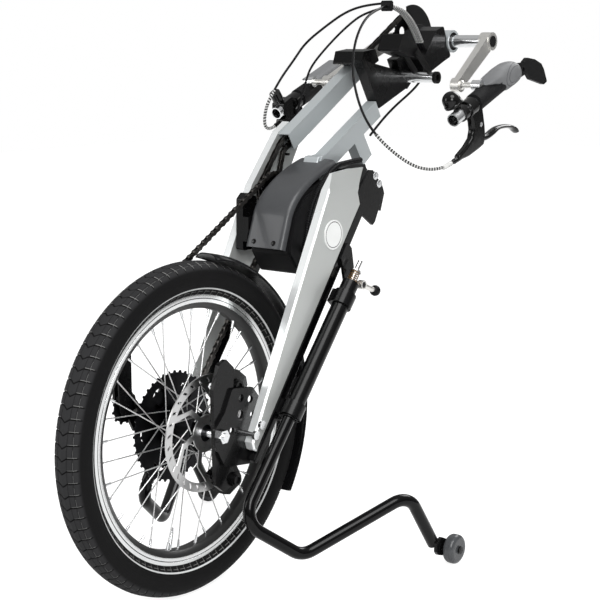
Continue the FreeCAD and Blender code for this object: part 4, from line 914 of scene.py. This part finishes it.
STAND_RISE = np.array([0, 0.6466, 0.7627])
STAND_ARM = 278
STAND_KNEE = np.array([105.0, 4.9, 130.2])
STAND = [STAND_KNEE + STAND_RISE * STAND_ARM, STAND_KNEE, (146.0, 100.0, 58.0), (234.0, 262.0, 133.0),
         (243.0, 324.0, 36.0)]
STAND_BEND = 34.0
STAND_RADIUS = 10.0
TINE = [(320, 44), (331, 47), (336, 45), (364, 31), (368, 26), (366, 17), (361, 13), (346, 11), (320, 20),
        (315, 26), (315, 40)]


def make_stand_tubes(s):
    """Both legs of the stand: a round bar with tight bends, and a flat tine with the castor's bolt."""
    bars, ends = [], []
    for side in (1, -1):
        flip = np.array([side, 1, 1])
        bars.append(tube(bar_line(STAND, STAND_BEND) * flip, STAND_RADIUS, (0.21, 0.33, 0.92), 28))
        ends.append(prism(TINE, 250.0 * side, 255.0 * side))
        ends.append(cylinder(*sorted((246.0 * side, 279.5 * side)), 352.0, 24.0, 4.0, 24, 0.0, 0.5))
        ends.append(cylinder(*sorted((276.3 * side, 279.0 * side)), 352.0, 24.0, 7.0, 6, 0.0, 0.5))
    points, faces = join(bars)
    obj = add_mesh("stand_tubes", points / 1000, faces, "stand", M["black"],
                   ["stand_legs"], sharp=60)
    outward(obj)
    points, faces = join(ends)
    outward(add_mesh("stand_tines", points / 1000, faces, "stand", M["satin_black"],
                     sharp=35))
    return obj


# Bell and levers
def bar_point(along, up, x=HANDLE_X):
    """A point measured along the left handle's bar from below its pin, and up from its axis."""
    return np.array([x, PIN_Y + along * BAR_COS - up * BAR_SIN, PIN_Z + along * BAR_SIN + up * BAR_COS])


def make_bell(s):
    """A domed bell: straight skirt, then a quarter round; its clamp band goes round the bar."""
    base, top = bar_point(-76.0, 13.0, 172.0), bar_point(-76.0, 14.0, 172.0)
    up = (top - base) / np.linalg.norm(top - base)
    lean = np.array([-0.25, -0.25, 0]) + up
    lean /= np.linalg.norm(lean)
    seat = np.array([172.0, 468.0, 745.0]) - lean * 12.0
    dome = np.linspace(0.05, math.pi / 2 - 0.02, 12)
    h = np.concatenate([[0, 0.6, 3.5, 4.0, 9.0], 10 + 15.0 * np.sin(dome)])
    r = np.concatenate([[15.6, 16.4, 16.4, 15.8, 15.6], 15.5 * np.cos(dome)])
    parts = [tube(seat + np.outer(h, lean), r, (0.3, 0.9, 0.1), 48)]
    parts.append(tube(np.array([bar_point(-82, 0), bar_point(-81.5, 0), bar_point(-70.5, 0),
                                bar_point(-70, 0)]), [12.6, 13.4, 13.4, 12.6], (1, 0, 0), 40))
    parts.append(tube(np.array([bar_point(-76, 8, 180), seat]), [5.5, 7.0], (0, 1, 0), 20))
    points, faces = join(parts)
    return outward(add_mesh("bell_dome", points / 1000, faces, "left_handle", M["gloss"],
                            ["bell"], sharp=50))


LEVER = [(499, 731), (503, 716), (509, 706), (512, 693), (508, 680), (492, 667), (468, 653), (471, 645),
         (500, 650), (530, 660), (548, 667), (552, 680), (549, 700), (544, 718), (538, 738), (520, 742)]


def make_left_lever(s):
    """The left lever's body with well rounded edges, its clamp, silver screws and the cable's ferrule."""
    points, faces = prism(LEVER, 178.5, 191.5)
    obj = add_mesh("lever_body_left", points / 1000, faces, "left_handle", M["gloss"],
                   ["left_lever_body"], bevel=0.004, rounds=4)
    clamp = tube(np.array([bar_point(-64, 0), bar_point(-63, 0), bar_point(-43, 0), bar_point(-42, 0)]),
                 [14.0, 15.0, 15.0, 14.0], (1, 0, 0), 48)
    ferrule = tube(np.array([[185, 478.5, 649.0], [185, 460, 644.1], [185, 459.5, 644.0],
                             [185, 452.5, 642.1]]), [4.6, 4.6, 3.6, 3.6], (1, 0, 0), 28)
    points, faces = join([clamp, ferrule])
    add_mesh("lever_clamp_left", points / 1000, faces, "left_handle", M["gloss"], sharp=40)
    heads = [cylinder(190.5, 193.2, 534.0, 702.0, 4.2, 6, 0.0, 0.5),
             cylinder(190.5, 192.6, 520.0, 728.0, 3.0, 6, 0.0, 0.4),
             cylinder(176.5, 193.0, 534.0, 702.0, 2.5, 20, 0.0, 0.3)]
    points, faces = join(heads)
    add_mesh("lever_screws_left", points / 1000, faces, "left_handle", M["alloy"], sharp=30)
    return obj


PALM_TOP = ([4, 20, 53, 80, 101, 112, 117, 119.5], [17, 22.5, 27, 25.5, 20, 11, 2, -5])
PALM_LOW = ([4, 20, 35, 48, 56, 88, 105, 114, 119.5], [14.5, 10, 2, -10, -17.5, -18.8, -18, -14, -8])
PALM_HALF = ([4, 12, 25, 60, 95, 110, 117, 119.5], [4, 13, 17.5, 18.5, 18, 14, 8, 2])


def make_palm(s):
    """The left palm pad: rounded sections along the bar, |x/w|^2.6 + |v/h|^2.6 = 1, whose width and
    height follow the outline; the black grip under it is a ribbed tube."""
    at = np.linspace(4, 119.5, 90)
    top, low, half = (np.interp(at, *line) for line in (PALM_TOP, PALM_LOW, PALM_HALF))
    for line in (top, low, half):
        for _ in range(14):
            line[1:-1] = (line[:-2] + 2 * line[1:-1] + line[2:]) / 4
    a = np.linspace(0, 2 * math.pi, 48, endpoint=False)
    cx, cv = (np.sign(f(a)) * np.abs(f(a)) ** (2 / 2.6) for f in (np.cos, np.sin))
    x = HANDLE_X + half[:, None] * cx
    up = ((top + low) / 2)[:, None] + ((top - low) / 2)[:, None] * cv
    y = PIN_Y + at[:, None] * BAR_COS - up * BAR_SIN
    z = PIN_Z + at[:, None] * BAR_SIN + up * BAR_COS
    points, faces = loft(np.stack([x, y, z], -1))
    obj = outward(add_mesh("palm_pad_left", points / 1000, faces, "left_handle", M["palm_left"],
                           ["left_grip"], sharp=60))
    run = np.linspace(-36, 62, 140)
    r = 16.4 - 0.35 * (0.5 + 0.5 * np.cos(2 * math.pi * run / 3.5)) ** 3
    r[[0, -1]] = 14.0
    line = np.array([bar_point(v, 0) for v in run])
    points, faces = tube(line, r, (1, 0, 0), 48)
    add_mesh("grip_ribbed_left", points / 1000, faces, "left_handle", M["rubber"], sharp=60)
    return obj


BLADE = [(536, 699), (541, 686), (549, 678), (562, 679), (580, 686), (594, 692), (612, 694.5),
         (635, 694.5), (651, 691.5), (662, 686), (667, 682)]


def make_blade(s):
    """The left lever's blade: an oval bar along a bent line, twice as wide as thick, with a round tip."""
    line = smooth_line([(HANDLE_X, y, z) for y, z in BLADE]) * 1000
    even, at = resample(line, 1.5)
    part = at / at[-1]
    r = np.interp(part, [0, 0.12, 0.3, 0.55, 0.85, 0.93, 0.98, 1.0],
                  [5.5, 5.5, 5.0, 3.6, 3.4, 4.2, 3.6, 0.8])
    points, faces = tube(even, r, (1, 0, 0), 24)
    widen = np.repeat(np.interp(part, [0, 0.15, 0.4, 1], [0.9, 0.9, 1.9, 1.9]), 24)
    points[:, 0] = HANDLE_X + (points[:, 0] - HANDLE_X) * widen
    return outward(add_mesh("lever_blade_left", points / 1000, faces, "left_brake_lever", M["gloss"],
                            ["left_brake_lever"], sharp=70))


# Cords
LEVER_CORD = [(185, 452.0, 642.0), (185, 427.5, 635.5), (174, 400, 634), (160, 377, 641), (143, 354, 659),
              (125, 330, 685), (108, 316, 715), (90, 316, 752), (71, 330, 793), (52, 362, 836),
              (36, 408, 871), (25, 456, 890), (17.5, 501.1, 898)]
RIGHT_LONG = [(-185, 453.6, 690.2), (-184, 436, 684), (-180, 415, 691), (-176, 413, 720),
              (-171, 424, 745), (-168, 450, 777), (-164, 480, 806), (-148, 492, 836), (-105, 497, 866),
              (-62, 497, 890), (-24, 503, 901), (6.7, 507, 903)]
RIGHT_SHORT = [(-171.2, 497, 708), (-165.5, 503, 738), (-160, 510, 768), (-150, 512, 795),
               (-110, 511, 833), (-66, 507, 866), (-28, 505, 888), (6.7, 507, 895)]
BUNDLE = [(17, 512.4, 899), (18, 536, 896), (19, 560, 886), (20, 583, 867), (21, 600, 845), (21, 618, 820)]
DOWN_CORD = [(12.6, 642, 792), (12.6, 624, 769), (12.6, 592, 750), (12.6, 545, 729), (12.6, 500, 704),
             (12.6, 466, 680)]
HOSE = [(20, 428, 641), (25, 402, 641), (38, 360, 641), (44, 325, 640), (50, 285, 621), (52, 255, 592),
        (52, 238, 556), (50, 236, 530), (42, 241, 514), (36.2, 246, 506)]


def cord_piece(name, route, radius, finish, replaces=(), spacing=1.5, ribs=0, rib_depth=0.0,
               sides=14, wrap=None):
    """A cord on its route's smooth line: a round tube whose map runs in metres along it.
    With ribs, the radius falls by rib_depth between one rib and the next, as a raised cosine.
    wrap is (from, to) in metres: a spiral strip goes round the cord there."""
    line = smooth_line(route)
    even, at = resample(line, spacing / 1000)
    r = np.full(len(even), radius / 1000)
    if ribs:
        r -= rib_depth / 1000 * (0.5 + 0.5 * np.cos(2 * math.pi * ribs * at / at[-1])) ** 1.5
    up = (0.12, 0.31, 0.94)
    points, faces = tube(even, r, up, sides)
    obj = add_mesh(name, points, faces, "frame", finish, replaces)
    if wrap:
        part = (at >= wrap[0]) & (at <= wrap[1])
        span, walked = even[part], at[part]
        points, faces = tube(span, np.full(len(span), radius / 1000 + 0.0007), up, sides)
        turn = np.tile(np.arange(sides) / sides, len(span))
        uv = np.c_[np.repeat(walked, sides), np.abs(turn - 0.5)]
        add_mesh(name + "_wrap", points, faces, "frame", M["wrapped"], uv=uv)
    return obj


def make_cords(s):
    """Brake and shift cables, partly under spiral strips, with a pale end sleeve and their clip."""
    left = cord_piece("cable_left_brake", LEVER_CORD, 2.1, M["cord"], ["left_brake_cable"],
                      wrap=(0.024, 0.165))
    cord_piece("cable_right_long", RIGHT_LONG, 2.1, M["cord"], ["right_cables"], wrap=(0.004, 0.105))
    cord_piece("cable_right_short", RIGHT_SHORT, 2.0, M["cord"])
    for k, shift in enumerate((-5.2, 0.0, 5.2)):
        route = [(x + shift, y, z) for x, y, z in BUNDLE]
        cord_piece("cable_bundle_%d" % (k + 1), route, 2.1, M["cord"],
                   ["cable_bundle"] if k == 0 else (), wrap=(0.004, 0.118))
    cord_piece("cable_to_gears", DOWN_CORD, 2.1, M["cord"])
    clip = [(502, 893), (505, 890), (509, 890), (512, 893), (512, 905), (509, 908), (505, 908), (502, 905)]
    points, faces = prism(clip, 7.2, 27)
    add_mesh("cable_clip", points / 1000, faces, "frame", M["plastic"], smooth=False,
             bevel=0.0008)
    a, b = np.array([185, 452.0, 642.0]), np.array([185, 427.5, 635.5])
    points, faces = tube(np.array([a, a * 0.97 + b * 0.03, a * 0.06 + b * 0.94, a * 0.03 + b * 0.97]),
                         [3.4, 4.0, 4.0, 3.4], (1, 0, 0), 24)
    add_mesh("cable_sleeve", points / 1000, faces, "frame", M["white"], sharp=40)
    return left


def make_hose(s):
    """The corrugated hose from the steering head to the motor."""
    return cord_piece("hose_corrugated", HOSE, 4.5, M["hose"], ["ribbed_hose"], 0.45, s.hose_ribs,
                      1.1, 20)


# Stage
LENS = 86.8
EYE = (1.439, -1.588, 0.841)
LOOK = (-math.sin(math.radians(37.54)) * math.cos(math.radians(10.18)),
        math.cos(math.radians(37.54)) * math.cos(math.radians(10.18)), -math.sin(math.radians(10.18)))


def make_stage(s):
    """White surroundings for the camera and dimmer ones for reflections, a pale floor that keeps a soft
    shadow, a wide sun, three soft panels and the camera of the photograph."""
    scene = bpy.context.scene
    scene.view_settings.view_transform = "Standard"
    world = bpy.data.worlds.new("surroundings")
    scene.world = world
    world.use_nodes = True
    nt = world.node_tree
    path = nt.nodes.new("ShaderNodeLightPath")
    place = nt.nodes.new("ShaderNodeTexCoord")
    split = nt.nodes.new("ShaderNodeSeparateXYZ")
    height = nt.nodes.new("ShaderNodeMapRange")
    mix = nt.nodes.new("ShaderNodeMix")
    mix.data_type = "RGBA"
    nt.links.new(place.outputs["Generated"], split.inputs[0])
    nt.links.new(split.outputs[2], height.inputs[0])
    for socket, value in zip((1, 2, 3, 4), (-0.1, 0.9, 0.10, 0.55)):
        height.inputs[socket].default_value = value
    nt.links.new(path.outputs["Is Camera Ray"], mix.inputs[0])
    nt.links.new(height.outputs[0], mix.inputs[6])
    mix.inputs[7].default_value = (1, 1, 1, 1)
    nt.links.new(mix.outputs[2], nt.nodes["Background"].inputs["Color"])

    mesh = bpy.data.meshes.new("floor")
    mesh.from_pydata([(-7, -7, -0.0005), (7, -7, -0.0005), (7, 9, -0.0005), (-7, 9, -0.0005)], [],
                     [[0, 1, 2, 3]])
    floor = bpy.data.objects.new("floor", mesh)
    scene.collection.objects.link(floor)
    white = Finish("floor_white", (0.80, 0.80, 0.80), 0.9)
    white.put("Roughness", white.noise(3.0, 2.0) * 0.05 + 0.88)
    glow = white.nt.nodes.new("ShaderNodeEmission")
    glow.inputs["Strength"].default_value = 1.42
    seen = white.node("ShaderNodeLightPath") * 0.62
    blend = white.nt.nodes.new("ShaderNodeMixShader")
    white.nt.links.new(seen.socket, blend.inputs[0])
    white.nt.links.new(white.bsdf.outputs[0], blend.inputs[1])
    white.nt.links.new(glow.outputs[0], blend.inputs[2])
    out = next(n for n in white.nt.nodes if n.type == "OUTPUT_MATERIAL")
    white.nt.links.new(blend.outputs[0], out.inputs[0])
    mesh.materials.append(white.m)

    aim = Vector((0, 0.25, 0.45))
    panels = [("key", (1.7, -1.5, 1.5), 1.0, 30), ("fill", (-1.6, -1.5, 1.2), 1.0, 12),
              ("back", (0.2, 2.2, 1.9), 1.2, 26)]
    for name, spot, size, power in panels:
        lamp = bpy.data.lights.new(name, "AREA")
        lamp.energy, lamp.size = power * s.light, size
        holder = bpy.data.objects.new(name, lamp)
        holder.location = spot
        holder.rotation_euler = (aim - Vector(spot)).to_track_quat("-Z", "Y").to_euler()
        scene.collection.objects.link(holder)
    lamp = bpy.data.lights.new("sun", "SUN")
    lamp.energy, lamp.angle = 2.3 * s.light, math.radians(40)
    holder = bpy.data.objects.new("sun", lamp)
    holder.rotation_euler = Vector((-0.5, 0.45, -1.0)).to_track_quat("-Z", "Y").to_euler()
    scene.collection.objects.link(holder)

    cam = bpy.data.cameras.new("camera")
    cam.lens, cam.sensor_width = LENS, 36.0
    eye = bpy.data.objects.new("camera", cam)
    eye.location = EYE
    eye.rotation_euler = Vector(LOOK).to_track_quat("-Z", "Y").to_euler()
    scene.collection.objects.link(eye)
    scene.camera = eye
    return floor


# The add-on
class HandcycleSettings(bpy.types.PropertyGroup):
    """The values that the operators read."""
    tread_rows: bpy.props.IntProperty(name="Tread rows", description="Rows of blocks once round the tyre",
                                      default=88, min=40, max=140)
    tread_depth: bpy.props.FloatProperty(name="Tread depth", description="How far the grooves are sunk",
                                         default=0.0022, unit="LENGTH", subtype="DISTANCE")
    spoke_gauge: bpy.props.FloatProperty(name="Spoke gauge", description="Diameter of a spoke",
                                         default=0.0020, unit="LENGTH", subtype="DISTANCE")
    edge_width: bpy.props.FloatProperty(name="Edge width",
                                        description="How wide the sharp edges are broken", default=0.0006,
                                        unit="LENGTH", subtype="DISTANCE")
    hose_ribs: bpy.props.IntProperty(name="Hose ribs", description="Ribs along the corrugated hose",
                                     default=78, min=10, max=200)
    light: bpy.props.FloatProperty(name="Light",
                                   description="Strength of the lights against their usual power",
                                   default=1.0)


class HandcycleStep(bpy.types.Operator):
    """One step of the build; its maker raises if it fails."""
    bl_options = {"REGISTER", "UNDO"}
    maker = None

    def execute(self, context):
        if not M:
            M.update(make_finishes())
        type(self).maker(context.scene.handcycle)
        return {"FINISHED"}


def operator(name, label, maker):
    """An operator class for one maker, whose docstring it takes."""
    body = {"__doc__": maker.__doc__, "bl_idname": "handcycle." + name, "bl_label": label,
            "maker": staticmethod(maker)}
    return type("HANDCYCLE_OT_" + name, (HandcycleStep,), body)


STEPS = [operator("tyre", "Tyre with tread", make_tyre), operator("rim", "Rim", make_rim),
         operator("spokes", "Spokes, nipples and valve", make_spokes),
         operator("frame", "Frame", make_frame),
         operator("drive", "Motor and sprockets", make_drive), operator("cover", "Motor cover", make_cover),
         operator("chains", "Chains", make_chains), operator("cranks", "Cranks and bars", make_cranks),
         operator("handles", "Grips and levers", make_handles),
         operator("left_lever", "Left lever", make_left_lever),
         operator("palm", "Left palm and grip", make_palm), operator("blade", "Left lever blade",
                 make_blade),
         operator("mudguard", "Mudguard", make_mudguard), operator("plates", "Mounting plates", make_plates),
         operator("bell", "Bell", make_bell), operator("stand", "Sleeves, castors and latch", make_stand),
         operator("stand_tubes", "Stand tubes", make_stand_tubes),
         operator("cords", "Cables", make_cords), operator("hose", "Corrugated hose", make_hose),
         operator("stage", "Floor, lights and camera", make_stage)]


class HANDCYCLE_PT_panel(bpy.types.Panel):
    """Lists the settings and the steps in the sidebar."""
    bl_label = "Handcycle"
    bl_space_type = "VIEW_3D"
    bl_region_type = "UI"
    bl_category = "Handcycle"

    def draw(self, context):
        settings = context.scene.handcycle
        for name in HandcycleSettings.__annotations__:
            self.layout.prop(settings, name)
        for step in STEPS:
            self.layout.operator(step.bl_idname)


CLASSES = [HandcycleSettings, *STEPS, HANDCYCLE_PT_panel]


def register():
    for c in CLASSES:
        bpy.utils.register_class(c)
    bpy.types.Scene.handcycle = bpy.props.PointerProperty(type=HandcycleSettings)


def unregister():
    del bpy.types.Scene.handcycle
    for c in reversed(CLASSES):
        bpy.utils.unregister_class(c)


def main():
    """Registers, runs every step in order and notes the CAD box and the finished box."""
    register()
    for step in STEPS:
        getattr(bpy.ops.handcycle, step.bl_idname.split(".")[1])()


if __name__ == "__main__":
    main()
